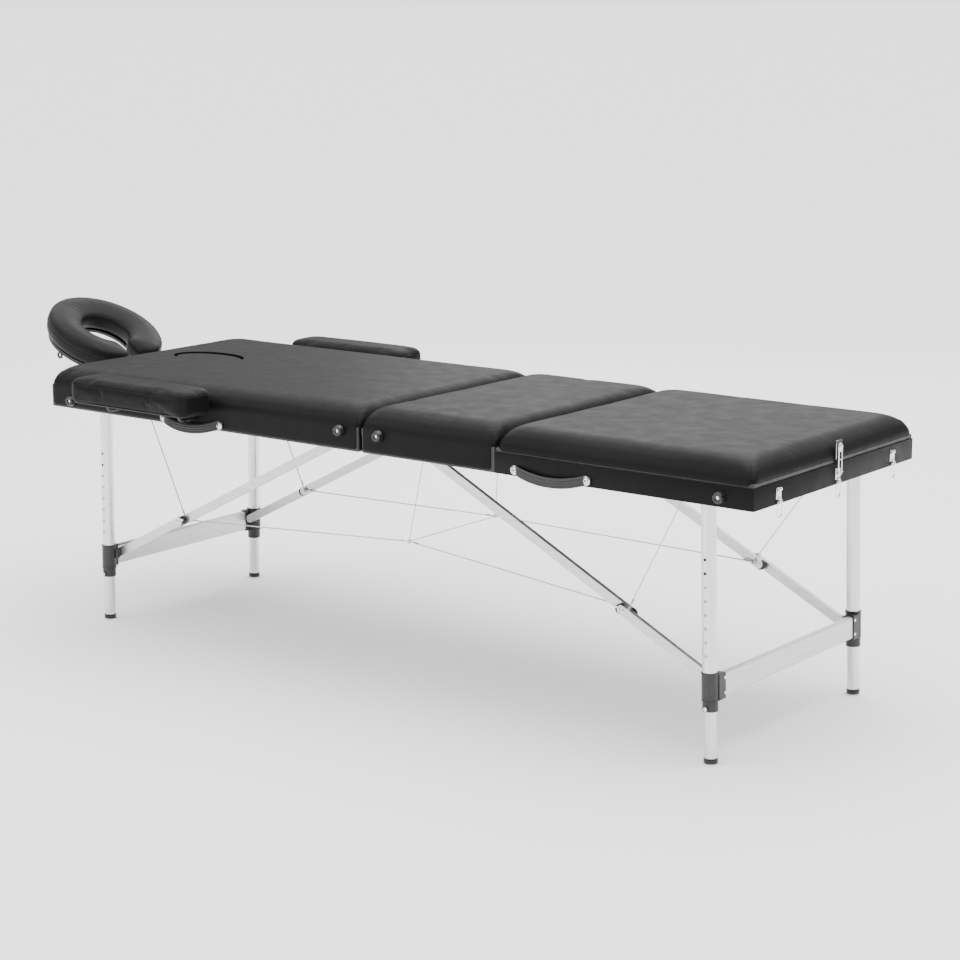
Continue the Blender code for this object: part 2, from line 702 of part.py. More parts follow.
def panel_link():
    """Slotted link that hangs from the backrest's plate over the middle latch."""
    low, high, half = 0.512, 0.574, 0.008
    outline = arc((0, high - half), half, half, 0, 180, 9)
    outline += arc((0, low + half), half, half, 180, 360, 9)
    slot = arc((0, high - 0.024), 0.0045, 0.0045, 0, 180, 7)
    slot += arc((0, low + half), 0.0045, 0.0045, 180, 360, 7)
    stand = Matrix.Rotation(math.radians(90), 4, "Z") @ UPRIGHT
    face = HALF_LENGTH + 0.0034 + GAP
    link = plate("panel_latch_link", [outline, slot], 0.002,
                 Matrix.Translation((face + 0.001, 0, 0)) @ stand, chrome())
    return pivot(link, (face + 0.001, 0, high - 0.0005))


# --- handles and bumpers on the near side -------------------------------------------------------
HANDLE_X = 0.478
HANDLE_HALF = 0.088
HANDLE_HEIGHT = 0.020
HANDLE_THICK = 0.003
HANDLE_SAG = 0.013
HANDLE_BOW = {"head": 0.0140, "foot": 0.0066}   # the folded handles lie side by side
HANDLE_Z = 0.507
BUMPER_R = 0.0125
BUMPER_OUT = 0.012
BUMPERS = {"head": ((-0.052, 0.535), (-0.855, 0.514)), "foot": ((0.052, 0.535), (0.855, 0.514))}


def carry_handle(side):
    """Strap riveted at both ends, bowing out and down between them."""
    centre = SIDES[side] * HANDLE_X
    face = -(HALF_WIDTH + GAP)
    slices = 14
    shape = bmesh.new()
    bmesh.ops.create_cube(shape, size=1.0)
    bmesh.ops.scale(shape, vec=(2 * HANDLE_HALF, HANDLE_THICK, HANDLE_HEIGHT), verts=shape.verts)
    for index in range(1, slices):
        x = -HANDLE_HALF + 2 * HANDLE_HALF * index / slices
        bmesh.ops.bisect_plane(shape, geom=shape.verts[:] + shape.edges[:] + shape.faces[:],
                               plane_co=(x, 0, 0), plane_no=(1, 0, 0))
    for vert in shape.verts:
        share = max(0.0, 1 - (vert.co.x / (HANDLE_HALF - 0.008)) ** 2)
        vert.co.y += face - HANDLE_THICK / 2 - HANDLE_BOW[side] * share ** 0.3
        vert.co.z += HANDLE_Z - HANDLE_SAG * share
        vert.co.x += centre
    strap = from_bmesh("carry_handle_" + side, shape, plastic())
    for way in (-1, 1):
        x = centre + way * (HANDLE_HALF - 0.002)
        rivet = rod(f"rivet_{side}{way}", (x, face, HANDLE_Z), (x, face - 0.0075, HANDLE_Z), 0.009,
                    chrome(), 12, True)
        join(strap, rivet)
    return strap


def bumper(side, index):
    x, z = BUMPERS[side][index]
    profile = [(0, BUMPER_OUT - 0.003), (0.004, BUMPER_OUT - 0.003), (0.0055, BUMPER_OUT),
               (0.009, BUMPER_OUT - 0.001), (0.0118, BUMPER_OUT - 0.005), (BUMPER_R, 0), (0, 0)]
    place = Matrix.Translation((x, -(HALF_WIDTH + GAP), z)) @ UPRIGHT
    return turned(f"{side}_bumper_{index + 1}", profile, plastic(), 16, place=place)


# --- armrests -----------------------------------------------------------------------------------
ARM_X = -0.580
ARM_HALF = 0.176
ARM_Y = (0.306, 0.400)
ARM_Z = (0.5425, 0.588)
ARM_PEG_X = 0.110
ARM_PEG_Z = 0.516
ARM_PEG_R = 0.005
ARM_PEG_IN = 0.262


def armrest(flank):
    """Padded rest on two pegs that plug into the side rail."""
    way = FLANKS[flank]
    ys = sorted((way * ARM_Y[0], way * ARM_Y[1]))
    rest = box("armrest_" + flank, (ARM_X - ARM_HALF, ys[0], ARM_Z[0]),
               (ARM_X + ARM_HALF, ys[1], ARM_Z[1]), vinyl(), 0.012, 2)
    for side in (-1, 1):
        x = ARM_X + side * ARM_PEG_X
        peg = rod(f"peg_{flank}{side}", (x, way * ARM_PEG_IN, ARM_PEG_Z), (x, way * 0.350, ARM_PEG_Z),
                  ARM_PEG_R, steel(), 12, True)
        ys = sorted((way * 0.336, way * 0.350))
        post = box(f"post_{flank}{side}", (x - 0.008, ys[0], ARM_PEG_Z - 0.006),
                   (x + 0.008, ys[1], ARM_Z[0] + 0.004), steel(), as_tool=True)
        join(rest, peg, post)
    return pivot(rest, (ARM_X, way * HALF_WIDTH, ARM_PEG_Z))


# --- headrest -----------------------------------------------------------------------------------
HEADREST_ROD_Y = 0.085
HEADREST_ROD_Z = 0.516
HEADREST_ROD_R = 0.006
HEADREST_TILT = math.radians(25)
HEADREST_PIVOT_X = -1.010
HEADREST_CENTRE = (-1.066, 0.614)     # (x, z) of the cushion's middle
HEADREST_HALF_X = 0.145
HEADREST_HALF_Y = 0.140
HEADREST_THICK = 0.066
HEADREST_END = 0.118                  # cushion ends, towards the table
HOLE_HALF_X = 0.062
HOLE_HALF_Y = 0.050
MOUTH_HALF = 0.026                    # half of the gap between the cushion's two ends


def headrest_place():
    """Cushion space: +X towards the table and down, +Z out of the cushion's top."""
    tilt = Matrix.Rotation(HEADREST_TILT, 4, "Y")
    return Matrix.Translation((HEADREST_CENTRE[0], 0, HEADREST_CENTRE[1])) @ tilt


def horseshoe(inset):
    """Outline of the cushion: an oval cut off towards the table, with a slotted face hole."""
    half_x, half_y = HEADREST_HALF_X - inset, HEADREST_HALF_Y - inset
    reach = HEADREST_END - inset
    outer = math.degrees(math.acos(reach / half_x))
    hole_x, hole_y = HOLE_HALF_X + inset, HOLE_HALF_Y + inset
    mouth = MOUTH_HALF + inset
    inner = math.degrees(math.asin(mouth / hole_y))
    outline = arc((0, 0), half_x, half_y, outer, 360 - outer, 25)
    outline += [(reach, -mouth)]
    outline += arc((0, 0), hole_x, hole_y, 360 - inner, inner, 17)
    outline += [(reach, mouth)]
    return outline


def headrest_cushion():
    place = headrest_place()
    cushion_solid = plate("headrest_cushion", [horseshoe(0.0)], HEADREST_THICK, place, vinyl())
    return pivot(cushion_solid, (HEADREST_PIVOT_X, 0, HEADREST_ROD_Z))


def headrest_bracket():
    """Two rods that plug into the head end, joined by the bar that the cradle tilts on."""
    bend = 0.016
    outer, inner = HEADREST_PIVOT_X, -0.830
    reach = HEADREST_ROD_Y
    path = [(inner, -reach, HEADREST_ROD_Z)]
    path += [(u, v, HEADREST_ROD_Z)
             for u, v in arc((outer + bend, -reach + bend), bend, bend, 270, 180, 5)]
    path += [(u, v, HEADREST_ROD_Z)
             for u, v in arc((outer + bend, reach - bend), bend, bend, 180, 90, 5)]
    path += [(inner, reach, HEADREST_ROD_Z)]
    return wire("headrest_bracket", path, HEADREST_ROD_R, steel(), resolution=3)


def headrest_cradle():
    """Plate under the cushion with two ears round the bracket's bar."""
    place = headrest_place()
    thick = 0.006
    drop = HEADREST_THICK / 2 + GAP + thick / 2
    cradle = plate("headrest_cradle", [horseshoe(0.014)], thick,
                   place @ Matrix.Translation((0, 0, -drop)), plastic())
    axis = place.inverted() @ Vector((HEADREST_PIVOT_X, 0, HEADREST_ROD_Z))
    for way in (-1, 1):
        y = way * 0.052
        ear = box(f"ear{way}", (axis.x - 0.013, y - 0.005, axis.z - 0.012),
                  (axis.x + 0.013, y + 0.005, -drop + 0.001), plastic(), as_tool=True)
        ear.data.transform(place)
        join(cradle, ear)
    bore = rod("cradle_bore", (HEADREST_PIVOT_X, -0.1, HEADREST_ROD_Z),
               (HEADREST_PIVOT_X, 0.1, HEADREST_ROD_Z), HEADREST_ROD_R + GAP, plastic(), 20, True)
    cut(cradle, bore)
    return pivot(cradle, (HEADREST_PIVOT_X, 0, HEADREST_ROD_Z))


def headrest_lever():
    """Cam lever round the bar that clamps the headrest's tilt."""
    turn = Matrix.Rotation(math.radians(200), 4, "Z")
    outline = arc((0, 0), 0.012, 0.012, 40, 320, 13)
    outline += arc((0.052, 0), 0.007, 0.007, -90, 90, 7)
    place = Matrix.Translation((HEADREST_PIVOT_X, -0.0625, HEADREST_ROD_Z)) @ UPRIGHT @ turn
    lever = plate("headrest_cam_lever", [outline], 0.007, place, plastic())
    bore = rod("lever_bore", (HEADREST_PIVOT_X, -0.1, HEADREST_ROD_Z),
               (HEADREST_PIVOT_X, 0.1, HEADREST_ROD_Z), HEADREST_ROD_R + GAP, plastic(), 20, True)
    cut(lever, bore)
    return pivot(lever, (HEADREST_PIVOT_X, -0.0625, HEADREST_ROD_Z))


# --- assembly -----------------------------------------------------------------------------------
def axis_empty(name, point, parent=None):
    """An empty on a joint's axis, at a point measured from the fold line."""
    made = bpy.data.objects.new(name, None)
    made.empty_display_size = 0.02
    bpy.data.collections[MODEL].objects.link(made)
    made["point"] = list(point)
    made.location = Vector(point) - (Vector(parent["point"]) if parent else Vector((0, 0, 0)))
    made.parent = parent
    return made


def hang(parent, *names):
    """Parent pieces to an empty and keep them where they are."""
    for name in names:
        piece = bpy.data.objects[name]
        piece.location -= Vector(parent["point"])
        piece.parent = parent


def hang_half(side, root):
    """Empties for one half of the table: its fold, its legs, its struts and its buttons."""
    sign = SIDES[side]
    half = axis_empty(side + "_half", (0, 0, FOLD_Z), root)
    hang(half, side + "_frame", "fold_leaf_" + side, "carry_handle_" + side, side + "_bumper_1",
         side + "_bumper_2")
    legs = axis_empty(side + "_legs", (sign * LEG_X, 0, LEG_HINGE_Z), half)
    hang(legs, side + "_crossbar")
    for flank in FLANKS:
        stem = f"{side}_{flank}_"
        hang(legs, *(stem + part for part in ("leg_tube", "collar", "inner_leg", "leg_button",
                                              "lower_strut")))
        hang(half, stem + "upper_strut")
    return half


def hang_all():
    root = axis_empty("table_middle", (0, 0, 0))
    head = hang_half("head", root)
    foot = hang_half("foot", root)
    backrest = axis_empty("backrest_hinge", (BACKREST_X, 0, BACKREST_HINGE_Z), foot)
    hang(backrest, "backrest_board", "backrest_pad", "backrest_prop", "panel_latch_link")
    for place in LATCHES:
        hang(foot, "latch_base_" + place, "latch_bail_" + place)
    hang(foot, "middle_pad", "foot_cable_net")
    headrest = axis_empty("headrest_hinge", (HEADREST_PIVOT_X, 0, HEADREST_ROD_Z), head)
    hang(headrest, "headrest_bracket", "headrest_cradle", "headrest_cushion", "headrest_cam_lever")
    hang(head, "head_pad", "face_plug", "armrest_near", "armrest_far", "head_cable_near",
         "head_cable_far")
    for tool in bpy.data.collections["cutters"].objects:
        tool.parent = root
    root.location.x = FOLD_X


def build():
    start_scene()
    head_frame()
    foot_frame()
    face_hole(cushion("head_pad", -HALF_LENGTH, -SECTION_GAP))
    cushion("middle_pad", SECTION_GAP, BACKREST_X - SECTION_GAP - 0.0005)
    pivot(cushion("backrest_pad", BACKREST_X + SECTION_GAP + 0.0005, HALF_LENGTH),
          (BACKREST_X, 0, BACKREST_HINGE_Z))
    face_plug()
    backrest_board()
    backrest_prop()
    for side in SIDES:
        fold_leaf(side)
        crossbar(side)
        carry_handle(side)
        for index in range(2):
            bumper(side, index)
        for flank in FLANKS:
            outer_tube(side, flank)
            inner_leg(side, flank)
            collar(side, flank)
            leg_button(side, flank)
            struts(side, flank)
    for place in LATCHES:
        latch_base(place)
        latch_bail(place)
    panel_link()
    for flank in FLANKS:
        head_cable(flank)
        armrest(flank)
    foot_cables()
    headrest_bracket()
    headrest_cradle()
    headrest_cushion()
    headrest_lever()
    hang_all()


build()
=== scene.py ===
"""Looks of the portable massage table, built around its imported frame."""
import itertools
import math
from collections import namedtuple

import bmesh
import bpy
import numpy as np
from mathutils import Matrix, Vector
from mathutils.bvhtree import BVHTree


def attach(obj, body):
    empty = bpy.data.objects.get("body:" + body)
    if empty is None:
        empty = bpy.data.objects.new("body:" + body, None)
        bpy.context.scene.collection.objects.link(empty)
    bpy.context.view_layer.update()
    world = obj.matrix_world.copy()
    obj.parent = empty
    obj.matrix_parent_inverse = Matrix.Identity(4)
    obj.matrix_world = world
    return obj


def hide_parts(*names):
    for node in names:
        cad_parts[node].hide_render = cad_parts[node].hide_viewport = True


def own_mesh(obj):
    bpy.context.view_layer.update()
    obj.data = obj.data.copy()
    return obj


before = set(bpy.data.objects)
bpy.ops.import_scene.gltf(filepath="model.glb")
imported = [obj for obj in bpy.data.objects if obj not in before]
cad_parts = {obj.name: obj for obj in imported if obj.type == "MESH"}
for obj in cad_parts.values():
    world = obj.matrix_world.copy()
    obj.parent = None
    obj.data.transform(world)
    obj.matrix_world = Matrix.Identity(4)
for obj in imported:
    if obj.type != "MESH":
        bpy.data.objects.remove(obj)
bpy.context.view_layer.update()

FX = 0.140                  # fold line, along the table from the frame's origin
HALF_LENGTH = 0.925         # fold line to either end of the padding
BACKREST_X = 0.345          # fold line to the seam of the lifting section
TOP = 0.585                 # top of the padding
COVER_Z = 0.4953            # lower edge of the covers that wrap the frames
BOARD_Z = 0.5378            # lower edge of the lifting section's cover
DECK_TOP = 0.5454           # top of the decks under the padding
WIDE = 0.300                # half width of the padding
NEAR_FACE = -0.3004         # just off the frame's near side, where fittings are screwed on
SIDES = {"head": -1, "foot": 1}
FLANKS = {"near": -1, "far": 1}
LEG_X, LEG_HINGE_Z, SPLAY = 0.811, 0.513, math.radians(1.6)
LEG_Y = {"head": 0.2395, "foot": 0.2700}
STRUT_DROP = math.radians(0.5)
LOWER_TAIL, UPPER_TAIL = 0.0155, 0.024      # how far each bar runs past the knee
STRUT_AT, STRUT_IN = 0.360, 0.011           # strut pivot along the leg, and inboard of it
STRUT_ANCHOR_X = 0.070
STRUT_TO_LEG, STRUT_THICK, STRUT_SPACE = 0.018, 0.010, 0.001
TUBE_R = 0.014                              # the leg's outer tube
FOOT_CAP_R = 0.0132
HOLES, OPEN_HOLES = 8, 2                    # the inner leg shows in all but the open ones
FIRST_HOLE, HOLE_PITCH = 0.124, 0.026


# ---- materials
class Look:
    """A Principled material and short ways to add noise, colour and bump to it."""

    def __init__(self, name, color, roughness, metallic=0.0, **sockets):
        self.mat = bpy.data.materials.new(name)
        self.mat.use_nodes = True
        self.tree = self.mat.node_tree
        self.shader = self.tree.nodes["Principled BSDF"]
        self.shader.inputs["Base Color"].default_value = (*color, 1)
        self.shader.inputs["Roughness"].default_value = roughness
        self.shader.inputs["Metallic"].default_value = metallic
        for key, value in sockets.items():
            self.shader.inputs[key.replace("_", " ")].default_value = value
        self.coords = self.node("ShaderNodeTexCoord").outputs["Object"]
        self.height = None

    def node(self, kind, **settings):
        made = self.tree.nodes.new(kind)
        for key, value in settings.items():
            setattr(made, key, value)
        return made

    def link(self, a, b):
        self.tree.links.new(a, b)

    def stretched(self, scale):
        mapping = self.node("ShaderNodeMapping")
        mapping.inputs["Scale"].default_value = scale
        self.link(self.coords, mapping.inputs["Vector"])
        return mapping.outputs["Vector"]

    def noise(self, scale, detail=3.0, stretch=(1, 1, 1)):
        made = self.node("ShaderNodeTexNoise")
        made.inputs["Scale"].default_value = scale
        made.inputs["Detail"].default_value = detail
        made.inputs["Roughness"].default_value = 0.5
        self.link(self.stretched(stretch), made.inputs["Vector"])
        return made.outputs["Fac"]

    def cells(self, scale):
        made = self.node("ShaderNodeTexVoronoi", feature="SMOOTH_F1")
        made.inputs["Scale"].default_value = scale
        self.link(self.coords, made.inputs["Vector"])
        return made.outputs["Distance"]

    def wave(self, scale, direction):
        made = self.node("ShaderNodeTexWave", bands_direction=direction)
        made.inputs["Scale"].default_value = scale
        made.inputs["Distortion"].default_value = 0.0
        self.link(self.coords, made.inputs["Vector"])
        return made.outputs["Fac"]

    def tint(self, value, first, second, start=0.3, end=0.7):
        ramp = self.node("ShaderNodeValToRGB")
        ramp.color_ramp.elements[0].position = start
        ramp.color_ramp.elements[1].position = end
        ramp.color_ramp.elements[0].color = (*first, 1)
        ramp.color_ramp.elements[1].color = (*second, 1)
        self.link(value, ramp.inputs["Fac"])
        self.link(ramp.outputs["Color"], self.shader.inputs["Base Color"])

    def rough(self, value, low, high):
        made = self.node("ShaderNodeMapRange")
        for end, level in (("From Min", 0.3), ("From Max", 0.7), ("To Min", low), ("To Max", high)):
            made.inputs[end].default_value = level
        self.link(value, made.inputs["Value"])
        self.link(made.outputs["Result"], self.shader.inputs["Roughness"])

    def bump(self, value, distance, strength=1.0):
        made = self.node("ShaderNodeBump")
        made.inputs["Distance"].default_value = distance
        made.inputs["Strength"].default_value = strength
        self.link(value, made.inputs["Height"])
        if self.height is not None:
            self.link(self.height, made.inputs["Normal"])
        self.height = made.outputs["Normal"]
        self.link(self.height, self.shader.inputs["Normal"])


def vinyl_look(name, dark, light, rough_low, rough_high):
    look = Look(name, dark, 0.5, Specular_IOR_Level=0.10, Sheen_Weight=0.004, Sheen_Roughness=0.5)
    look.tint(look.noise(4.5, 4.0), dark, light)
    look.rough(look.noise(28, 4.0), rough_low, rough_high)
    look.bump(look.noise(9, 2.0), 0.0030, 0.35)     # foam's slight unevenness
    look.bump(look.cells(620), 0.00016, 0.75)       # pebbled grain
    look.bump(look.noise(1500, 3.0), 0.00006, 0.6)
    return look


# material name, colour, roughness, metallic, then the noise and its two colours, the noise and
# its two roughnesses, and the noise, depth and strength of a bump
FINISHES = {
    "frame": ("black_frame", (0.020, 0.020, 0.021), 0.5, 0.0,
              ((60, 5, (0.15, 1, 1)), (0.014, 0.014, 0.015), (0.026, 0.026, 0.027)),
              ((90, 3), 0.42, 0.6), ((240, 5, (0.05, 1, 1)), 0.0003, 0.5)),
    "aluminium": ("satin_aluminium", (0.76, 0.765, 0.77), 0.3, 1.0,
                  ((120, 3, (1, 1, 0.04)), (0.70, 0.705, 0.71), (0.82, 0.823, 0.826)),
                  ((700, 3, (1, 1, 0.02)), 0.24, 0.36), ((1400, 2, (1, 1, 0.01)), 0.00004, 0.5)),
    "bar": ("brushed_aluminium", (0.80, 0.805, 0.81), 0.34, 1.0,
            ((200, 3, (0.05, 0.05, 1)), (0.60, 0.605, 0.61), (0.70, 0.703, 0.706)),
            ((900, 3, (0.03, 0.03, 1)), 0.28, 0.42), ((1500, 2, (0.02, 0.02, 1)), 0.00005, 0.6)),
    "plastic": ("black_plastic", (0.012, 0.012, 0.013), 0.34, 0.0,
                ((35, 3), (0.010, 0.010, 0.011), (0.018, 0.018, 0.019)),
                ((160, 3), 0.28, 0.44), ((1900, 2), 0.00005, 0.5)),
    "rubber": ("black_rubber", (0.010, 0.010, 0.010), 0.3, 0.0,
               ((60, 2), (0.008, 0.008, 0.008), (0.014, 0.014, 0.014)),
               ((240, 3), 0.20, 0.34), ((1200, 2), 0.00004, 0.4)),
    "chrome": ("bright_chrome", (0.82, 0.825, 0.83), 0.14, 1.0,
               ((130, 3), (0.70, 0.705, 0.71), (0.88, 0.885, 0.89)),
               ((320, 4), 0.08, 0.24), ((260, 3), 0.00008, 0.4)),
    "steel": ("plated_rod", (0.62, 0.62, 0.63), 0.3, 1.0,
              ((50, 3), (0.52, 0.52, 0.53), (0.70, 0.70, 0.71)), ((200, 4), 0.22, 0.38), None),
    "strap": ("ribbed_strap", (0.014, 0.014, 0.015), 0.5, 0.0,
              ((300, 3), (0.010, 0.010, 0.011), (0.022, 0.022, 0.023)),
              ((200, 3), 0.36, 0.55), None),
    # hole: a near-black disc of painted shade where an open hole shows the tube's dark inside; the
    # rivets' slots use it as painted shade too
    "hole": ("hole_painted_shade", (0.004, 0.004, 0.004), 0.8, 0.0,
             ((200, 2), (0.003, 0.003, 0.003), (0.008, 0.008, 0.008)), None,
             ((500, 2), 0.0001, 0.3)),
    # through: the inner leg's metal seen through a hole, partly its real metal and partly painted
    # shade, darker than the aluminium
    "through": ("tube_behind_hole_painted_shade", (0.42, 0.425, 0.43), 0.5, 0.6,
                ((300, 2), (0.30, 0.30, 0.31), (0.48, 0.485, 0.49)), None, None),
    "thread": ("black_thread", (0.03, 0.03, 0.031), 0.6, 0.0, None, None, None),
    "wire": ("wire_rope", (0.72, 0.72, 0.73), 0.38, 0.9, None, None, None),
}


def make_looks():
    looks = {
        "vinyl": vinyl_look("black_vinyl", (0.0040, 0.0040, 0.0042), (0.0055, 0.0055, 0.0057),
                            0.40, 0.50),
        "vinyl_soft": vinyl_look("headrest_vinyl", (0.0080, 0.0080, 0.0083),
                                 (0.0110, 0.0110, 0.0114), 0.36, 0.46)}
    for key, (name, color, roughness, metallic, tint, rough, bump) in FINISHES.items():
        look = Look(name, color, roughness, metallic)
        for change, values in ((look.tint, tint), (look.rough, rough), (look.bump, bump)):
            if values:
                change(look.noise(*values[0]), *values[1:])
        looks[key] = look
    thread, wire, strap = looks["thread"], looks["wire"], looks["strap"]
    thread.bump(thread.wave(900, "DIAGONAL"), 0.0002, 0.8)
    # dark and light diagonal bands on the rope: painted shade in the grooves between strands and
    # painted highlight on their crowns
    wire.tint(wire.wave(420, "DIAGONAL"), (0.45, 0.45, 0.46), (0.82, 0.82, 0.83), 0.2, 0.8)
    wire.bump(wire.wave(420, "DIAGONAL"), 0.0003, 0.8)
    strap.bump(strap.wave(300, "X"), 0.0002, 0.6)
    return {key: look.mat for key, look in looks.items()}


LOOKS = make_looks()


# ---- mesh helpers
def placed(name, data):
    """A new object in the scene."""
    made = bpy.data.objects.new(name, data)
    bpy.context.scene.collection.objects.link(made)
    return made


def smoothed(mesh, sharp=42):
    """Smooth shading, except where faces meet at more than this many degrees."""
    mesh.shade_smooth()
    mesh.set_sharp_from_angle(angle=math.radians(sharp))


def from_shape(name, shape, look):
    mesh = bpy.data.meshes.new(name)
    bmesh.ops.recalc_face_normals(shape, faces=shape.faces)
    shape.to_mesh(mesh)
    shape.free()
    smoothed(mesh)
    mesh.materials.append(LOOKS[look])
    return placed(name, mesh)


def circle(steps):
    """Angles round a whole turn."""
    return np.linspace(0, 2 * math.pi, steps, endpoint=False)


def loft(name, loops, look, closed=False):
    """Skin equal loops in order, with a cap at each end unless the last joins the first."""
    count = len(loops[0])
    verts = [p for ring in loops for p in ring]
    faces = []
    rings = len(loops)
    for k in range(rings if closed else rings - 1):
        a, b = k * count, (k + 1) % rings * count
        faces += [(a + i, a + (i + 1) % count, b + (i + 1) % count, b + i) for i in range(count)]
    if not closed:
        faces.append(tuple(range(count)))
        faces.append(tuple(range((rings - 1) * count, rings * count)))
    mesh = bpy.data.meshes.new("loft")
    mesh.from_pydata([tuple(v) for v in verts], [], faces)
    shape = bmesh.new()
    shape.from_mesh(mesh)
    bpy.data.meshes.remove(mesh)
    return from_shape(name, shape, look)


CORNER_STEPS = 8


def rounded_rect(x0, x1, y0, y1, radius, z, nx, ny):
    """A loop with fixed counts on its sides and corners, so that insets of it match."""
    radius = max(radius, 0.0004)
    out = []
    for cx, cy, start, run, count in ((x1 - radius, y0 + radius, -90, (0, 1), ny),
                                      (x1 - radius, y1 - radius, 0, (-1, 0), nx),
                                      (x0 + radius, y1 - radius, 90, (0, -1), ny),
                                      (x0 + radius, y0 + radius, 180, (1, 0), nx)):
        for i in range(CORNER_STEPS + 1):
            a = math.radians(start + 90 * i / CORNER_STEPS)
            out.append((cx + radius * math.cos(a), cy + radius * math.sin(a), z))
        length = (y1 - y0 if run[0] == 0 else x1 - x0) - 2 * radius
        last = out[-1]
        out += [(last[0] + run[0] * length * i / count, last[1] + run[1] * length * i / count, z)
                for i in range(1, count)]
    return out


def block(name, low, high, look, radius=0.001, segments=2):
    shape = bmesh.new()
    bmesh.ops.create_cube(shape, size=1.0)
    low, high = Vector(low), Vector(high)
    bmesh.ops.scale(shape, vec=high - low, verts=shape.verts)
    bmesh.ops.translate(shape, vec=(low + high) / 2, verts=shape.verts)
    bmesh.ops.bevel(shape, geom=shape.edges[:], offset=radius, segments=segments, profile=0.5,
                    affect="EDGES")
    return from_shape(name, shape, look)


def turned(name, start, axis, profile, look, sides=24):
    """A profile of (radius, distance along the axis) turned round the axis."""
    axis = Vector(axis).normalized()
    side = axis.orthogonal().normalized()
    other = axis.cross(side)
    start = Vector(start)
    loops = []
    for radius, along in profile:
        ring = []
        for i in range(sides):
            a = 2 * math.pi * i / sides
            ring.append(start + axis * along
                        + (side * math.cos(a) + other * math.sin(a)) * max(radius, 1e-5))
        loops.append(ring)
    return loft(name, loops, look)


def tube(name, points, radius, look, closed=False, sides=3):
    """A round bar along the points, made as a skinned loft."""
    pts = [Vector(p) for p in points]
    count = len(pts)
    around = 4 + 2 * sides
    rings = []
    side = None
    for i, point in enumerate(pts):
        before = pts[i - 1] if closed or i else pts[i]
        after = pts[(i + 1) % count] if closed or i < count - 1 else pts[i]
        run = (after - before).normalized()
        if side is None:
            side = run.orthogonal().normalized()
        side = (side - run * side.dot(run)).normalized()
        other = run.cross(side)
        into = (point - before).normalized() if before != point else run
        stretch = 1 / max(0.5, run.dot(into))
        rings.append([point + (side * math.cos(a) + other * math.sin(a)) * radius
                      * (stretch if 0 < i < count - 1 else 1)
                      for a in (2 * math.pi * k / around for k in range(around))])
    if closed:
        first, last = rings[0], rings[-1]
        shift = min(range(around), key=lambda s: (first[s] - last[0]).length)
        if shift:
            turned_by = 2 * math.pi * shift / around
            for i in range(count):
                share = turned_by * (i / count)
                k = rings[i]
                centre = pts[i]
                before, after = pts[i - 1], pts[(i + 1) % count]
                axis = (after - before).normalized()
                spin = Matrix.Rotation(share, 3, axis)
                rings[i] = [centre + spin @ (p - centre) for p in k]
    return loft(name, rings, look, closed)


def smooth_path(points, count):
    """A Catmull-Rom curve through the points."""
    pts = [Vector(p) for p in points]
    total = len(pts)
    out = []
    for s in range(total - 1):
        p = [pts[min(max(s + k, 0), total - 1)] for k in (-1, 0, 1, 2)]
        for i in range(count):
            t = i / count
            out.append(0.5 * ((2 * p[1]) + (p[2] - p[0]) * t
                              + (2 * p[0] - 5 * p[1] + 4 * p[2] - p[3]) * t * t
                              + (3 * p[1] - p[0] - 3 * p[2] + p[3]) * t ** 3))
    out.append(pts[-1])
    return out


def merged(name, parts):
    """Several small meshes as one piece."""
    shape = bmesh.new()
    mats = []
    for part in parts:
        start = len(shape.faces)
        shape.from_mesh(part.data)
        shape.faces.ensure_lookup_table()
        mat = part.data.materials[0]
        if mat not in mats:
            mats.append(mat)
        for face in shape.faces[start:]:
            face.material_index = mats.index(mat)
        bpy.data.objects.remove(part, do_unlink=True)
    mesh = bpy.data.meshes.new(name)
    shape.to_mesh(mesh)
    shape.free()
    for mat in mats:
        mesh.materials.append(mat)
    smoothed(mesh)
    return placed(name, mesh)


def carve(piece, *tools):
    """Cut with the tools and remove them."""
    for tool in tools:
        change = piece.modifiers.new("carve", "BOOLEAN")
        change.operation = "DIFFERENCE"
        change.object = tool
        change.solver = "MANIFOLD"
    apply_all(piece)
    for tool in tools:
        bpy.data.objects.remove(tool, do_unlink=True)
    smoothed(piece.data)


def apply_all(piece):
    bpy.context.view_layer.update()
    mesh = bpy.data.meshes.new_from_object(piece.evaluated_get(
        bpy.context.evaluated_depsgraph_get()))
    piece.modifiers.clear()
    old = piece.data
    piece.data = mesh
    bpy.data.meshes.remove(old)


def coords(piece):
    co = np.empty(len(piece.data.vertices) * 3)
    piece.data.vertices.foreach_get("co", co)
    return co.reshape(-1, 3)


def set_coords(piece, co):
    piece.data.vertices.foreach_set("co", co.astype(np.float32).ravel())
    piece.data.update()


def limit_faces(piece, low, high):
    """Keep the piece inside a box."""
    co = coords(piece)
    set_coords(piece, np.clip(co, np.array(low), np.array(high)))


CLOTH = {"quality": 4, "mass": 0.3, "tension_stiffness": 15, "compression_stiffness": 15,
         "bending_stiffness": 0.6}
CLOTH_FRAMES = 20
STILL_BLEND = 0.014         # height over which a still cover becomes a free one


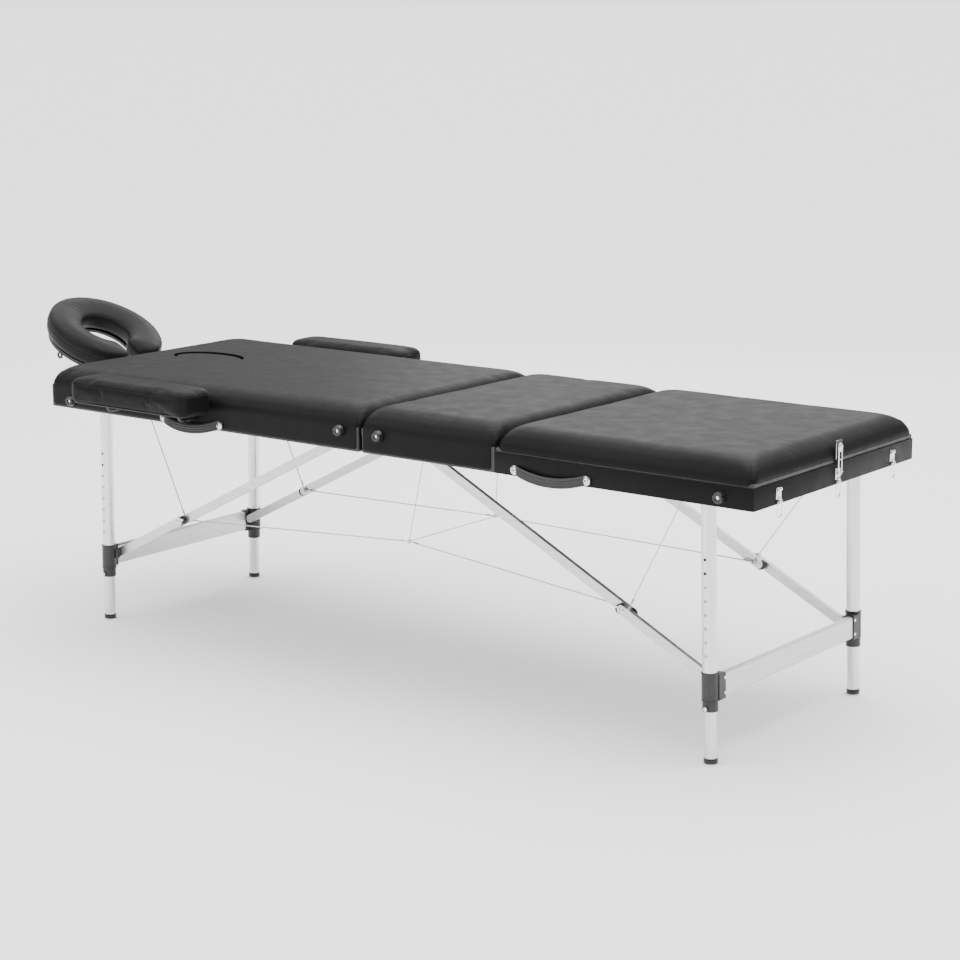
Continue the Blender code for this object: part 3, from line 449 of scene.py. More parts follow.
def puff(piece, voxel, cap, pressure=4.0, still_below=None):
    """Fill the piece like a stuffed cover: remesh, inflate as cloth, limit how far it moves.
    Below still_below the cover lies on a rail and stays where it is."""
    remesh = piece.modifiers.new("remesh", "REMESH")
    remesh.mode = "VOXEL"
    remesh.voxel_size = voxel
    apply_all(piece)
    start = coords(piece)
    cloth = piece.modifiers.new("cloth", "CLOTH")
    for setting, value in CLOTH.items():
        setattr(cloth.settings, setting, value)
    cloth.settings.use_pressure = True
    cloth.settings.uniform_pressure_force = pressure
    cloth.settings.effector_weights.gravity = 0.0
    cloth.collision_settings.use_collision = False
    cloth.point_cache.frame_start = 1
    cloth.point_cache.frame_end = CLOTH_FRAMES
    scene = bpy.context.scene
    for number in range(1, CLOTH_FRAMES + 1):
        scene.frame_set(number)
    apply_all(piece)
    scene.frame_set(1)
    moved = coords(piece) - start
    length = np.linalg.norm(moved, axis=1, keepdims=True)
    eased = cap * np.tanh(length / cap)
    if still_below is not None:
        eased *= np.clip((start[:, 2:3] - still_below) / STILL_BLEND, 0, 1)
    set_coords(piece, start + moved * eased / np.maximum(length, 1e-9))
    subdivide(piece)


def subdivide(piece):
    change = piece.modifiers.new("subdivide", "SUBSURF")
    change.levels = 1
    change.render_levels = 1
    change.use_limit_surface = False
    apply_all(piece)
    piece.data.shade_smooth()


def surface_tree(piece):
    return BVHTree.FromObject(piece, bpy.context.evaluated_depsgraph_get())


def drop_on(tree, points, lift=0.0):
    """Points moved onto the surface, and out of it by lift."""
    out = []
    for point in points:
        place, normal, _, _ = tree.find_nearest(Vector(point))
        out.append(place + normal * lift)
    return out


def keep(piece, body, replaces=()):
    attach(piece, body)
    if replaces:
        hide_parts(*replaces)
    return piece


# ---- padded sections
# x0, x1: ends from the fold line; edges: share of the edge width at each end, less at a seam;
# frame: the carved-out frame's ends from the section's; folds: where a corner's fold starts
Section = namedtuple("Section", "name node body x0 x1 z0 edges frame folds fold_z")
SECTIONS = (
    Section("head_upholstery", "head_pad", "head_half", -HALF_LENGTH, -0.0015, COVER_Z,
            (1.0, 0.62), (0.0011, -0.0028), (0.0060, 0.0045), 0.500),
    Section("middle_upholstery", "middle_pad", "foot_half", 0.0015, BACKREST_X - 0.002, COVER_Z,
            (0.62, 0.55), (0.0028, 0.0200), (0.0050, 0.0050), 0.500),
    Section("backrest_upholstery", "backrest_pad", "backrest", BACKREST_X + 0.002, HALF_LENGTH,
            BOARD_Z, (0.75, 1.0), (-0.0001, -0.0011), (0.0050, 0.0060), 0.541),
)
EDGE_WIDE, EDGE_TALL = 0.046, 0.035     # the soft edge, across the top and down the side
CORNER, CORNER_GROWTH = 0.012, 0.024    # corner radius at the sides, and what the top adds
CROWN = 0.0015
EDGE_STEPS, TOP_STEPS = 10, 9


def section_shape(section):
    """An upholstered slab: sides straight down, a wide soft top edge, a slightly full top."""
    x0, x1 = section.x0 + FX + 0.0004, section.x1 + FX - 0.0004
    nx, ny = max(8, round((x1 - x0) / 0.02)), 30
    z0 = section.z0
    side_top = TOP - EDGE_TALL
    loops = []

    def ring(inset, z, grow=0.0):
        loops.append(rounded_rect(x0 + inset * section.edges[0], x1 - inset * section.edges[1],
                                  -WIDE + inset, WIDE - inset, CORNER + grow, z, nx, ny))
    for inset, rise in ((0.0030, 0.0), (0.0008, 0.0006), (0.0, 0.0030)):
        ring(inset, z0 + rise)
    for share in (0.35, 0.7, 1.0):
        ring(0.0, z0 + 0.003 + (side_top - z0 - 0.003) * share)
    for step in range(1, EDGE_STEPS + 1):
        a = math.radians(90 * step / EDGE_STEPS)
        ring(EDGE_WIDE * (1 - math.cos(a)), side_top + EDGE_TALL * math.sin(a),
             CORNER_GROWTH * step / EDGE_STEPS)
    half = min((x1 - x0) / 2, WIDE) - EDGE_WIDE
    for step in range(1, TOP_STEPS):
        share = step / TOP_STEPS
        ring(EDGE_WIDE + half * share * 0.92, TOP + CROWN * (1 - (1 - share) ** 2), CORNER_GROWTH)
    return loft(section.name, loops, "vinyl")


def upholstery():
    """The three sections, each wrapped over its own frame or board."""
    pads = {}
    for section in SECTIONS:
        x0, x1 = section.x0 + FX, section.x1 + FX
        pad = section_shape(section)
        puff(pad, 0.0065, 0.0028, 3.0, still_below=0.547)
        bulge = [0.0025 if abs(x) == HALF_LENGTH else 0.0004 for x in (section.x0, section.x1)]
        limit_faces(pad, (x0 - bulge[0], -WIDE - 0.0010, section.z0),
                    (x1 + bulge[1], WIDE + 0.0010, TOP + 0.004))
        hollow = block("hollow", (x0 + section.frame[0], -0.2989, section.z0 - 0.05),
                       (x1 + section.frame[1], 0.2989, DECK_TOP + 0.0001), "vinyl", 0.0002, 1)
        carve(pad, hollow)
        if section.node == "head_pad":
            carve(pad, oval_column("face_hole", FACE_A + HOLE_ROOM, FACE_B + HOLE_ROOM, 0.50, 0.65))
        pads[section.node] = keep(pad, section.body, [section.node])
    return pads


FACE = (-0.720 + FX, 0.0)               # middle of the face hole
FACE_A, FACE_B = 0.0950, 0.0550         # half length and half width of its plug
HOLE_ROOM = 0.0028


def oval(half_x, half_y, z):
    return [(FACE[0] + half_x * math.cos(a), FACE[1] + half_y * math.sin(a), z)
            for a in circle(96)]


def oval_column(name, half_x, half_y, z0, z1):
    return loft(name, [oval(half_x, half_y, z) for z in (z0, z1)], "vinyl")


def face_plug():
    """Oval plug, its top edge rolled over, lying flush in the head section."""
    rings = []

    def ring(inset, z):
        rings.append(oval(FACE_A - inset, FACE_B - inset, z))
    base, top, roll = DECK_TOP + 0.0002, TOP + 0.0012, 0.0075
    ring(0.002, base)
    ring(0.0, base + 0.002)
    for share in (0.3, 0.6, 0.9):
        ring(0.0, base + (top - roll - base) * share)
    for step in range(0, 8):
        a = math.radians(90 * step / 7)
        ring(roll * (1 - math.cos(a)), top - roll + roll * math.sin(a))
    for share in (0.15, 0.35, 0.6, 0.85):
        ring(roll + 0.044 * share, top + 0.0012 * share)
    plug = loft("face_plug_pad", rings, "vinyl")
    subdivide(plug)
    keep(plug, "face_plug", ["face_plug"])


def corner_folds(pads):
    """Where the cover is folded at a corner, a short line runs down it."""
    for section in SECTIONS:
        tree = surface_tree(pads[section.node])
        low = section.fold_z
        ends = ((section.x0 + section.folds[0], 1), (section.x1 - section.folds[1], -1))
        lines = []
        for (x, inward), way in itertools.product(ends, (-1, 1)):
            points = [(x + FX + inward * 0.010 * t * t, way * (WIDE + 0.01 - 0.03 * t * t),
                       low + (TOP - low) * t) for t in np.linspace(0.03, 0.97, 14)]
            lines.append(tube("fold", drop_on(tree, points, 0.00015), 0.0007, "vinyl", sides=2))
        keep(merged(section.name.replace("upholstery", "folds"), lines), section.body)


def foot_band():
    """The cover of the frame's rails below the lifting section."""
    x0, x1 = BACKREST_X - 0.001 + FX, HALF_LENGTH + FX
    z0, z1 = COVER_Z, 0.5368
    inner = WIDE - 0.00115
    bars = []
    for way in (-1, 1):
        y = sorted((way * inner, way * WIDE))
        bars.append(block("side_band", (x0, y[0], z0), (x1, y[1], z1), "vinyl", 0.0005, 2))
        y = sorted((way * 0.2895, way * 0.2987))
        bars.append(block("light_stop", (x0 + 0.001, y[0], 0.5280), (x1 - 0.0015, y[1], 0.5371),
                          "frame", 0.0003, 1))
    bars.append(block("end_band", (x1 - 0.00115, -inner, z0), (x1, inner, z1), "vinyl", 0.0005, 2))
    keep(merged("foot_frame_band", bars), "foot_half")


# ---- armrests
ARM_X = (-0.756, -0.404)                # from the fold line
ARM_Y = (0.306, 0.400)                  # from the centre line
ARM_Z = (0.5345, 0.588)
PEG_X = (-0.690, -0.470)
PEG_Y, PEG_Z, PEG_R = 0.344, 0.516, 0.005


def armrests():
    """Two pads on bent pegs that push into the head frame."""
    for flank, way in FLANKS.items():
        x0, x1 = (x + FX for x in ARM_X)
        ys = sorted(way * y for y in ARM_Y)
        z0, z1 = ARM_Z
        rings = []

        def ring(inset, z):
            rings.append(rounded_rect(x0 + inset, x1 - inset, ys[0] + inset, ys[1] - inset,
                                      0.020 - inset * 0.4, z, 34, 8))
        for inset, z in ((0.006, z0), (0.0015, z0 + 0.0022), (0.0, z0 + 0.0065),
                         (0.0, z1 - 0.020), (0.0004, z1 - 0.015)):
            ring(inset, z)
        for step in range(1, 8):
            a = math.radians(90 * step / 7)
            ring(0.0150 * (1 - math.cos(a)) + 0.0004, z1 - 0.015 + 0.015 * math.sin(a))
        for share in (0.2, 0.5, 0.8):
            ring(0.0154 + 0.028 * share, z1 + 0.0010 * share)
        pad = loft("armrest_pad_" + flank, rings, "vinyl")
        puff(pad, 0.0045, 0.004, 4.0)
        limit_faces(pad, (x0 - 0.003, ys[0] - 0.0028, z0), (x1 + 0.003, ys[1] + 0.0028, z1 + 0.004))
        tree = surface_tree(pad)
        body = "armrest_" + flank
        loop = rounded_rect(x0, x1, ys[0], ys[1], 0.020, z1 - 0.0130, 40, 10)
        seam = tube("armrest_seam_" + flank, drop_on(tree, loop), 0.0010, "vinyl", True, 2)
        keep(pad, body, ["armrest_" + flank])
        keep(seam, body)
        pegs = []
        for x in (x + FX for x in PEG_X):
            points = smooth_path([(x, way * 0.262, PEG_Z), (x, way * 0.300, PEG_Z),
                                  (x, way * 0.333, PEG_Z), (x, way * 0.3425, PEG_Z + 0.005),
                                  (x, way * PEG_Y, PEG_Z + 0.016),
                                  (x, way * PEG_Y, PEG_Z + 0.0275)], 6)
            pegs.append(tube("peg", points, PEG_R, "plastic", sides=4))
            pegs.append(block("foot_plate", (x - 0.018, way * PEG_Y - 0.013, 0.5395),
                              (x + 0.018, way * PEG_Y + 0.013, 0.5428), "plastic", 0.001))
        keep(merged("armrest_pegs_" + flank, pegs), body)
        board = rounded_rect(x0 + 0.006, x1 - 0.006, ys[0] + 0.006, ys[1] - 0.006, 0.016, 0.5338,
                             12, 6)
        keep(loft("armrest_board_" + flank, [board, [(x, y, z + 0.0022) for x, y, z in board]],
                  "frame"), body)


# ---- headrest
TILT = Matrix.Translation((-1.066 + FX, 0, 0.614)) @ Matrix.Rotation(math.radians(25), 4, "Y")
DISH = 0.016                # how much lower the cushion is at its inner edge
MID_X, MID_Y = 0.1030, 0.0960           # half length and half width of its middle line


def middle_line(angle):
    """A point of the horseshoe's middle line, and the direction out of it."""
    along, across = math.cos(angle), math.sin(angle)
    return (Vector((MID_X * along, MID_Y * across, 0)),
            Vector((along / MID_X, across / MID_Y, 0)).normalized())


def horseshoe_rings(width, height, open_angle, count):
    """Cross-sections along the horseshoe, closing down at both ends."""
    rings = []
    for i in range(count):
        t = i / (count - 1)
        a = math.radians(open_angle + (360 - 2 * open_angle) * t)
        centre, normal = middle_line(a)
        end = min(t, 1 - t) * (count - 1)
        size = math.sqrt(max(0.02, 1 - (1 - min(end / 5.0, 1)) ** 2))
        ring = []
        for k in range(28):
            b = 2 * math.pi * k / 28
            u = math.copysign(abs(math.cos(b)) ** 0.62, math.cos(b)) * width
            v = math.copysign(abs(math.sin(b)) ** 0.62, math.sin(b)) * height
            if v > 0:
                v -= DISH * (v / height) * (1 - u / width) / 2
            else:
                v *= 1.13
            ring.append(centre + normal * u * size + Vector((0, 0, v * size)))
        rings.append(ring)
    return rings


def headrest():
    """The dished horseshoe cushion with its welts and stitches."""
    cushion = loft("headrest_pad", horseshoe_rings(0.0410, 0.0310, 13, 96), "vinyl_soft")
    cushion.data.transform(TILT)
    puff(cushion, 0.0045, 0.0045, 4.0)
    tree = surface_tree(cushion)
    keep(cushion, "headrest", ["headrest_cushion"])
    lines = []
    for offset, radius, height in ((0.0420, 0.0011, -0.004), (-0.0378, 0.0010, 0.020)):
        path = []
        for a in np.linspace(math.radians(20), math.radians(340), 90):
            centre, normal = middle_line(a)
            path.append(TILT @ (centre + normal * offset + Vector((0, 0, height))))
        lines.append(tube("welt", drop_on(tree, path), radius, "vinyl_soft", sides=2))
    keep(merged("headrest_welts", lines), "headrest")
    stitches = []
    for height in (0.001, -0.009):
        for a in np.linspace(math.radians(24), math.radians(336), 126):
            ends = []
            for shift in (-0.011, 0.011):
                centre, normal = middle_line(a + shift)
                ends.append(TILT @ (centre + normal * 0.045 + Vector((0, 0, height))))
            stitches.append(tube("stitch", drop_on(tree, ends, 0.0002), 0.00045, "thread",
                                 sides=1))
    keep(merged("headrest_stitches", stitches), "headrest")
    cradle_details()


def cradle_details():
    """Rim, screws and side eyelets of the plate under the headrest."""
    rim = []
    for a in np.linspace(math.radians(34), math.radians(326), 60):
        rim.append(TILT @ Vector((0.129 * math.cos(a), 0.124 * math.sin(a), -0.0385)))
    parts = [tube("rim", rim, 0.0030, "plastic", sides=3)]
    for way in (-1, 1):
        for angle in (100, 150):
            a = math.radians(angle) * way
            parts.append(turned("screw", TILT @ Vector((0.1 * math.cos(a), 0.095 * math.sin(a),
                                                        -0.0452)),
                                TILT.to_3x3() @ Vector((0, 0, -1)),
                                ((0.0045, 0), (0.0045, 0.0008), (0.003, 0.0018), (0, 0.002)),
                                "chrome", 16))
        ring = [TILT @ Vector((-0.004 + 0.0062 * math.cos(a), way * 0.125, -0.0455
                               + 0.0062 * math.sin(a)))
                for a in circle(20)]
        parts.append(tube("eyelet", ring, 0.0026, "plastic", True, 3))
    keep(merged("cradle_details", parts), "headrest")


# ---- handles and bumpers
BOW = {"head": 0.0140, "foot": 0.0066}  # how far each strap stands off at its middle
HANDLE_X = 0.478
BUMPERS = ((0.052, 0.535), (0.855, 0.514))


def handles():
    """Ribbed straps, riveted at both ends."""
    half, sag, height, z_mid = 0.088, 0.013, 0.020, 0.507
    for side, sign in SIDES.items():
        centre = sign * HANDLE_X + FX
        face = NEAR_FACE
        rings = []
        for x in np.linspace(-half - 0.006, half + 0.006, 90):
            share = max(0.0, 1 - (x / (half - 0.008)) ** 2)
            y = face - 0.0004 - BOW[side] * share ** 0.45
            z = z_mid - sag * share
            fade = min(1.0, (half + 0.006 - abs(x)) / 0.012)
            tall = height * (0.62 + 0.38 * math.sqrt(max(0.0, fade)))
            ring = []
            for v in np.linspace(-0.5, 0.5, 40):
                rib = 0.0012 * abs(math.sin(4 * math.pi * (v + 0.5))) ** 0.6 * min(1, share * 6)
                edge = 1 - (2 * abs(v)) ** 10
                ring.append((centre + x, y - (0.0018 + rib) * edge, z + v * tall))
            ring += [(centre + x, y - 0.0002, z + v * tall) for v in (0.5, 0.2, -0.2, -0.5)]
            rings.append(ring)
        body = side + "_half"
        keep(loft("strap_handle_" + side, rings, "strap"), body,
             ["carry_handle_" + side])
        parts = []
        for way in (-1, 1):
            x = centre + way * (half - 0.004)
            parts.append(turned("washer", (x, face - 0.0018, z_mid), (0, -1, 0),
                                ((0.0088, 0), (0.0088, 0.0006), (0.0066, 0.0014), (0, 0.0014)),
                                "chrome", 28))
            parts.append(turned("rivet", (x, face - 0.0030, z_mid), (0, -1, 0),
                                ((0.0060, 0), (0.0058, 0.0012), (0.0045, 0.0026),
                                 (0.0024, 0.0033), (0, 0.0035)), "chrome", 24))
            for turn in (20, 110):
                a = math.radians(turn)
                ends = [(x + s * 0.0030 * math.cos(a), face - 0.0064,
                         z_mid + s * 0.0030 * math.sin(a)) for s in (-1, 1)]
                # the slots are dark lines of painted shade in the rivet heads
                parts.append(tube("slot", ends, 0.0005, "hole", sides=1))
        keep(merged("handle_rivets_" + side, parts), body)


def bumpers():
    """Rubber feet on the near side, each with a sunk screw."""
    dome = [(0.0125, 0.0), (0.0127, 0.0015), (0.0122, 0.0040), (0.0112, 0.0065)]
    dome += [(0.0112 - 0.0022 * (1 - math.cos(a)), 0.0065 + 0.0050 * math.sin(a))
             for a in np.linspace(0.2, math.pi / 2, 6)]
    dome += [(0.0052, 0.0117), (0.0044, 0.0112), (0.0040, 0.0088), (0, 0.0086)]
    for side, sign in SIDES.items():
        for number, (x, z) in enumerate(BUMPERS):
            node = f"{side}_bumper_{number + 1}"
            x = sign * x + FX
            piece = turned("dome", (x, NEAR_FACE, z), (0, -1, 0), dome, "rubber", 36)
            screw = turned("screw", (x, NEAR_FACE - 0.0084, z), (0, -1, 0),
                           ((0.0036, 0), (0.0034, 0.0007), (0, 0.0009)), "chrome", 20)
            keep(merged("bumper_" + node, [piece, screw]), side + "_half", [node])


# ---- latches
END = HALF_LENGTH + FX                  # outer face of the foot end
BAIL_X, BAIL_Z = END + 0.0028, 0.501
LATCHES = {"near": -0.215, "middle": 0.0, "far": 0.215}


def latches():
    """Plates with a hinge barrel on the foot end; the outer two have a rolled lip."""
    for place, y in LATCHES.items():
        parts = [block("plate", (END - 0.0011, y - 0.0085, 0.5045),
                       (END + 0.0012, y + 0.0085, 0.5262), "chrome", 0.0009, 3)]
        parts.append(turned("barrel", (BAIL_X, y - 0.0048, BAIL_Z), (0, 1, 0),
                            ((0.0016, 0), (0.0033, 0), (0.0033, 0.0096), (0.0016, 0.0096)),
                            "chrome", 20))
        parts.append(block("neck", (END - 0.0010, y - 0.0046, 0.5020),
                           (END + 0.0040, y + 0.0046, 0.5085), "chrome", 0.0008, 2))
        if place != "middle":
            parts.append(loft("lip", [[(END + 0.0013 + 0.0024 * math.sin(a), y + s,
                                        0.5225 + 0.0035 * math.cos(a))
                                       for a in np.linspace(0, math.pi, 8)]
                                      for s in (-0.0080, -0.0078, 0.0078, 0.0080)], "chrome"))
            for s in (-1, 1):
                parts.append(turned("screw", (END + 0.0011, y + s * 0.0052, 0.5125), (1, 0, 0),
                                    ((0.0022, 0), (0.0020, 0.0008), (0, 0.0012)), "chrome", 14))
        keep(merged("latch_" + place, parts), "foot_half", ["latch_base_" + place])


def panel_link():
    """Two bright bars between a round eye and a pinned foot."""
    x = END + 0.0048
    eye_z, foot_z = 0.5660, 0.5200
    parts = []
    outline = []
    for centre, start in ((eye_z, 0), (foot_z, 180)):
        for a in np.linspace(0, math.pi, 12):
            b = a + math.radians(start)
            outline.append((x, 0.0062 * math.cos(b), centre + 0.0070 * math.sin(b)))
    parts.append(tube("frame_bar", outline, 0.0016, "chrome", True, 4))
    parts.append(turned("eye", (x - 0.0012, 0, eye_z), (1, 0, 0),
                        ((0.0085, 0), (0.0087, 0.0012), (0.0070, 0.0026), (0, 0.0030)), "chrome",
                        28))
    parts.append(turned("cross_pin", (x + 0.0004, -0.0092, foot_z - 0.0010), (0, 1, 0),
                        ((0.0016, 0), (0.0018, 0.0006), (0.0018, 0.0178), (0.0016, 0.0184)),
                        "chrome", 16))
    parts.append(turned("mid_pin", (x + 0.0002, -0.0075, 0.5430), (0, 1, 0),
                        ((0.0012, 0), (0.0012, 0.0150)), "chrome", 14))
    keep(merged("panel_link", parts), "panel_link", ["panel_latch_link"])
    plate = block("keeper_face", (END + 0.0006, -0.0105, 0.5440), (END + 0.0022, 0.0105, 0.5800),
                  "chrome", 0.0007, 2)
    keep(plate, "backrest")


# ---- legs
def leg_matrix(side, y):
    """From a leg's own frame, hinge at 0 and the leg down -Z, to the table's."""
    sign = SIDES[side]
    return (Matrix.Translation((sign * LEG_X + FX, y, LEG_HINGE_Z))
            @ Matrix.Rotation(-sign * SPLAY, 4, "Y"))


def leg_details():
    """Adjusting holes, caps and hinge bolts of the four legs."""
    for side in SIDES:
        for flank, way in FLANKS.items():
            y = way * LEG_Y[side]
            place = leg_matrix(side, y)
            turn = place.to_3x3()
            out = Vector((0, way, 0))
            stem = f"{side}_{flank}"
            holes = []
            for number in range(HOLES):
                # open holes get the near-black disc of painted shade; the rest get the inner leg's
                # metal darkened with painted shade
                look = "hole" if number < OPEN_HOLES else "through"
                spot = place @ Vector((0, way * (TUBE_R - 0.00015),
                                       -FIRST_HOLE - HOLE_PITCH * number))
                holes.append(turned("hole", spot, out, ((0.0030, 0), (0.0030, 0.00022),
                                                        (0.0, 0.00022)), look, 20))
                ring = [spot + out * 0.0002 + turn @ Vector((0.0031 * math.cos(a), 0,
                                                             0.0031 * math.sin(a)))
                        for a in circle(20)]
                holes.append(tube("rim", ring, 0.00028, "bar", True, 1))
            holes.append(turned("top_cap", place @ Vector((0, 0, 0.0102)), turn @ Vector((0, 0, 1)),
                                ((0.0002, 0), (0.0142, 0), (0.0142, 0.0036), (0.0002, 0.0042)),
                                "plastic", 28))
            bolt = place @ Vector((0, way * TUBE_R, 0))
            holes.append(turned("hinge_bolt", bolt, out, ((0.0058, 0), (0.0055, 0.0003),
                                                          (0, 0.00035)), "chrome", 6))
            keep(merged("leg_details_" + stem, holes), side + "_legs")
            length = (LEG_HINGE_Z - FOOT_CAP_R * math.sin(SPLAY)) / math.cos(SPLAY)
            cap = turned("foot_cap_" + stem, place @ Vector((0, 0, -length)),
                         turn @ Vector((0, 0, 1)),
                         ((0.0002, 0.0001), (0.0128, 0.0001), (0.01345, 0.0008), (0.01345, 0.0098),
                          (0.0131, 0.0105), (0.01255, 0.0106)), "rubber", 32)
            keep(cap, f"{side}_{flank}_inner_leg")
            collar_details(side, flank, way, place, turn)


def collar_details(side, flank, way, place, turn):
    """Beads, screws and the strut's pin of the collar round a leg's lower end."""
    sign = SIDES[side]
    radius = 0.016154
    parts = []
    for along in (0.3395, 0.3915):
        ring = [place @ Vector((radius * math.cos(a), radius * math.sin(a), -along))
                for a in circle(36)]
        parts.append(tube("bead", ring, 0.0008, "plastic", True, 2))
    for along in (0.352, 0.381):
        spot = place @ Vector((sign * 0.0170, -way * 0.024, -along))
        parts.append(turned("socket_screw", spot, turn @ Vector((sign, 0, 0)),
                            ((0.0032, 0), (0.0030, 0.0012), (0, 0.0016)), "chrome", 16))
    pin = place @ Vector((-sign * STRUT_IN, -way * 0.0150, -STRUT_AT))
    parts.append(turned("strut_pin", pin, (0, -way, 0), ((0.0042, 0), (0.0042, 0.0008), (0, 0.0009)),
                        "chrome", 18))
    keep(merged(f"collar_details_{side}_{flank}", parts), side + "_legs")


# ---- struts
def strut_ends(side):
    """Anchor, lower end and knee of a side's struts; their lengths let the leg fold flat."""
    sign = SIDES[side]
    low = leg_matrix(side, 0) @ Vector((-sign * STRUT_IN, 0, -STRUT_AT))
    anchor = Vector((sign * STRUT_ANCHOR_X + FX, 0, LEG_HINGE_Z + STRUT_IN))
    straight = (anchor - low).length
    folded = LEG_X - STRUT_AT - STRUT_ANCHOR_X
    lower = (straight ** 2 - folded ** 2) / (2 * (straight + folded * math.cos(STRUT_DROP)))
    upper = straight - lower
    knee = anchor + (low - anchor) * upper / (upper + lower)
    return anchor, low, knee


def end_cap(tip, direction, y):
    """Thin moulded cap round a bar's end."""
    direction = direction.normalized()
    up = Vector((0, 1, 0)).cross(direction).normalized()
    rings = []
    for side in (-0.0054, 0.0054):
        ring = []
        for way, depth, back in ((1, 0.0099, 0.0095), (-1, 0.0085, 0.0130)):
            for a in np.linspace(-way * math.pi / 2, way * math.pi / 2, 14):
                ring.append(tip + direction * (depth * math.cos(a) - back)
                            + up * 0.0099 * math.sin(a) + Vector((0, y + side, 0)))
        rings.append(ring)
    return loft("cap", rings, "plastic")


def strut_details():
    """Caps, studs and pivot heads of the folding struts."""
    for side in SIDES:
        anchor, low, knee = strut_ends(side)
        up_dir = (knee - anchor).normalized()
        low_dir = (knee - low).normalized()
        for flank, way in FLANKS.items():
            outer = way * (LEG_Y[side] - STRUT_TO_LEG - STRUT_THICK / 2)
            inner = outer - way * (STRUT_THICK + STRUT_SPACE)
            stem = f"{side}_{flank}"
            lower_parts = [end_cap(knee + low_dir * LOWER_TAIL, low_dir, outer)]
            lower_parts.append(turned("knee_stud", knee + Vector((0, outer + way * 0.0048, 0)),
                                      (0, way, 0), ((0.0055, 0), (0.0055, 0.0010), (0.0040, 0.0022),
                                                    (0, 0.0026)), "chrome", 20))
            lower_parts.append(turned("stop_stud", knee + low_dir * 0.014
                                      + Vector((0, outer + way * 0.0048, 0)), (0, way, 0),
                                      ((0.0030, 0), (0.0030, 0.0010), (0, 0.0018)), "chrome", 16))
            keep(merged("lower_strut_ends_" + stem, lower_parts), side + "_lower_struts")
            upper_parts = [end_cap(knee + up_dir * UPPER_TAIL, up_dir, inner)]
            upper_parts.append(end_cap(anchor - up_dir * 0.0095, -up_dir, inner))
            upper_parts.append(turned("pivot_head", knee + Vector((0, inner - way * 0.0048, 0)),
                                      (0, -way, 0), ((0.0055, 0), (0.0050, 0.0016), (0, 0.0020)),
                                      "chrome", 20))
            keep(merged("upper_strut_ends_" + stem, upper_parts), side + "_upper_struts")


# ---- cables
def cables():
    """Wire ropes from the frames over the struts' knees to the rings under the fold."""
    ring_y, ring_z = 0.148, 0.281
    for side, sign in SIDES.items():
        knee = strut_ends(side)[2]
        parts = []
        for flank, way in FLANKS.items():
            y = LEG_Y[side] - STRUT_TO_LEG - 2 * STRUT_THICK - STRUT_SPACE - 0.004
            if side == "head":
                top = Vector((-0.741 + FX, way * y, 0.535))
            else:
                top = Vector((0.780 + FX, way * 0.2872, 0.520))
            bend = Vector((knee.x, way * y, knee.z))
            near_ring = Vector((sign * 0.0035 + FX, way * ring_y, ring_z))
            cable = [tube("rope", [top, bend, near_ring], 0.0010, "wire", sides=2)]
            for start, end in ((bend, near_ring), (bend, top), (near_ring, bend), (top, bend)):
                run = (end - start).normalized()
                cable.append(turned("crimp", start + run * 0.012, run,
                                    ((0.0011, 0), (0.0022, 0.0006), (0.0022, 0.0114),
                                     (0.0011, 0.012)), "chrome", 14))
            loop = [bend + Vector((0.0045 * math.cos(a), way * 0.0010, 0.0045 * math.sin(a)))
                    for a in circle(20)]
            cable.append(tube("eye", loop, 0.0009, "wire", True, 2))
            if side == "head":
                piece = merged("leg_cable_head_" + flank, cable)
                keep(piece, "head_half", ["head_cable_" + flank])
                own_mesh(piece)
            else:
                parts += cable
                middle = Vector((FX, way * ring_y, ring_z))
                rise = Vector((0.037 + FX, way * 0.120, 0.535))
                parts.append(tube("riser", [middle, rise], 0.0008, "wire", sides=2))
                knot = [middle + Vector((0.0036 * math.cos(a), 0.0036 * math.sin(a) * 0.3,
                                         0.0036 * math.sin(a)))
                        for a in circle(20)]
                parts.append(tube("ring", knot, 0.0010, "steel", True, 2))
        if side == "foot":
            parts.append(tube("across", [(FX, -ring_y, ring_z), (FX, ring_y, ring_z)], 0.0009,
                              "wire", sides=2))
            net = merged("leg_cables_foot", parts)
            keep(net, "foot_half", ["foot_cable_net"])
            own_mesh(net)


# ---- finishes of the frame's own nodes
NODE_LOOKS = (
    ("aluminium", ("leg_tube", "inner_leg")), ("bar", ("strut", "crossbar")),
    ("plastic", ("collar", "headrest_cradle", "headrest_cam_lever")),
    ("frame", ("head_frame", "foot_frame", "backrest_board")),
    ("chrome", ("fold_leaf", "latch", "button")), ("steel", ("backrest_prop", "headrest_bracket")))


def dress_nodes():
    """Looks for the CAD pieces that stay in view, by the words in their names."""
    for node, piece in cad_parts.items():
        look = next((look for look, words in NODE_LOOKS if any(word in node for word in words)), None)
        if look:
            piece.data.materials.clear()
            piece.data.materials.append(LOOKS[look])
            if look != "bar":
                smoothed(piece.data, 35)


# ---- studio
FLOOR_REACH, FLOOR_Z = 4000, -0.0006
# brightness of the surroundings by height: the floor's, a dark band at the horizon, a white top
SKY = ((0.0, 0.62), (0.008, 0.62), (0.022, 0.07), (0.28, 0.12), (0.62, 0.85), (1.0, 1.0))
SKY_STRENGTH = 3.3
# name, place, aim, size, power
LAMPS = (("overhead", (0.6, 0.6, 3.2), (0.3, 0, 0.5), 2.6, 55),
         ("behind", (-1.5, 3.4, 2.2), (0.2, 0, 0.5), 2.4, 25),
         ("front_left", (-1.8, -3.4, 2.2), (0.0, 0, 0.4), 1.6, 25))
CAMERA_TURN, CAMERA_RISE, CAMERA_ROLL = 38.094, 11.921, -0.354      # degrees
CAMERA_AT = (2.9414 + FX, -3.6583, 1.3778)
LENS = 84.29


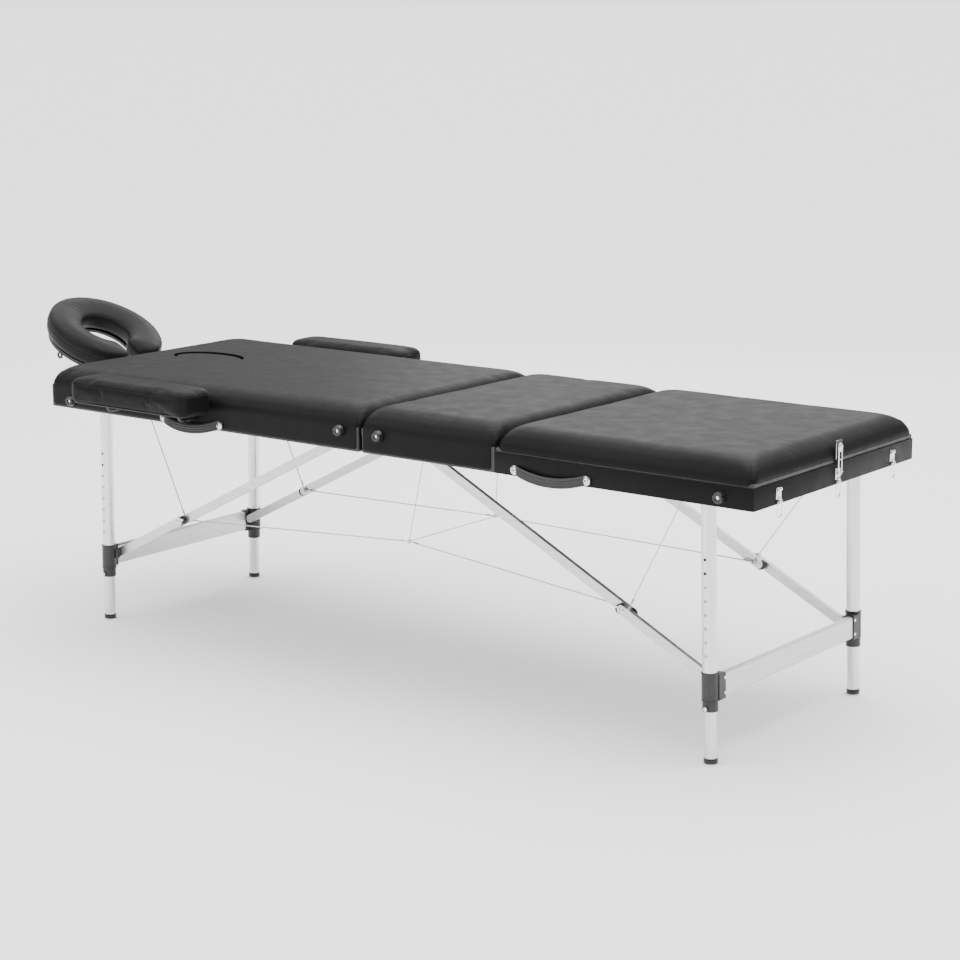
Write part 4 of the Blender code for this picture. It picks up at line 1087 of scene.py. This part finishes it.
def studio():
    """A white floor, a soft sky and three lamps."""
    floor = placed("floor", bpy.data.meshes.new("floor"))
    corners = ((-1, -1), (1, -1), (1, 1), (-1, 1))
    floor.data.from_pydata([(x * FLOOR_REACH, y * FLOOR_REACH, FLOOR_Z) for x, y in corners],
                           [], [(0, 1, 2, 3)])
    white = Look("studio_floor", (0.95, 0.95, 0.95), 0.9)
    white.tint(white.noise(3, 2), (0.945, 0.945, 0.945), (0.955, 0.955, 0.955))
    floor.data.materials.append(white.mat)
    world = bpy.data.worlds.new("studio")
    world.use_nodes = True
    tree = world.node_tree
    generated = tree.nodes.new("ShaderNodeTexCoord").outputs["Generated"]
    split = tree.nodes.new("ShaderNodeSeparateXYZ")
    ramp = tree.nodes.new("ShaderNodeValToRGB")
    while len(ramp.color_ramp.elements) < len(SKY):
        ramp.color_ramp.elements.new(1.0)
    for element, (place, value) in zip(ramp.color_ramp.elements, SKY):
        element.position = place
        element.color = (value, value, value, 1)
    tree.links.new(generated, split.inputs[0])
    tree.links.new(split.outputs["Z"], ramp.inputs["Fac"])
    tree.links.new(ramp.outputs["Color"], tree.nodes["Background"].inputs["Color"])
    tree.nodes["Background"].inputs["Strength"].default_value = SKY_STRENGTH
    bpy.context.scene.world = world
    for name, place, aim, size, power in LAMPS:
        light = bpy.data.lights.new(name, "AREA")
        light.energy = power
        light.size = size
        lamp = placed(name, light)
        lamp.location = place
        lamp.rotation_euler = (Vector(aim) - Vector(place)).to_track_quat("-Z", "Y").to_euler()


def camera():
    """The photo's view."""
    a, e, c = (math.radians(angle) for angle in (CAMERA_TURN, CAMERA_RISE, CAMERA_ROLL))
    back = Vector((math.sin(a) * math.cos(e), -math.cos(a) * math.cos(e), math.sin(e)))
    right = Vector((math.cos(a), math.sin(a), 0))
    up = back.cross(right)
    right, up = (math.cos(c) * right + math.sin(c) * up, -math.sin(c) * right + math.cos(c) * up)
    data = bpy.data.cameras.new("photo_camera")
    data.lens = LENS
    data.sensor_width = 36
    data.clip_end = 9000
    view = placed("photo_camera", data)
    view.matrix_world = Matrix([(right[i], up[i], back[i], CAMERA_AT[i]) for i in range(3)]
                               + [(0, 0, 0, 1)])
    bpy.context.scene.camera = view


studio()
camera()
dress_nodes()
pads = upholstery()
corner_folds(pads)
face_plug()
foot_band()
armrests()
headrest()
handles()
bumpers()
latches()
panel_link()
leg_details()
strut_details()
cables()
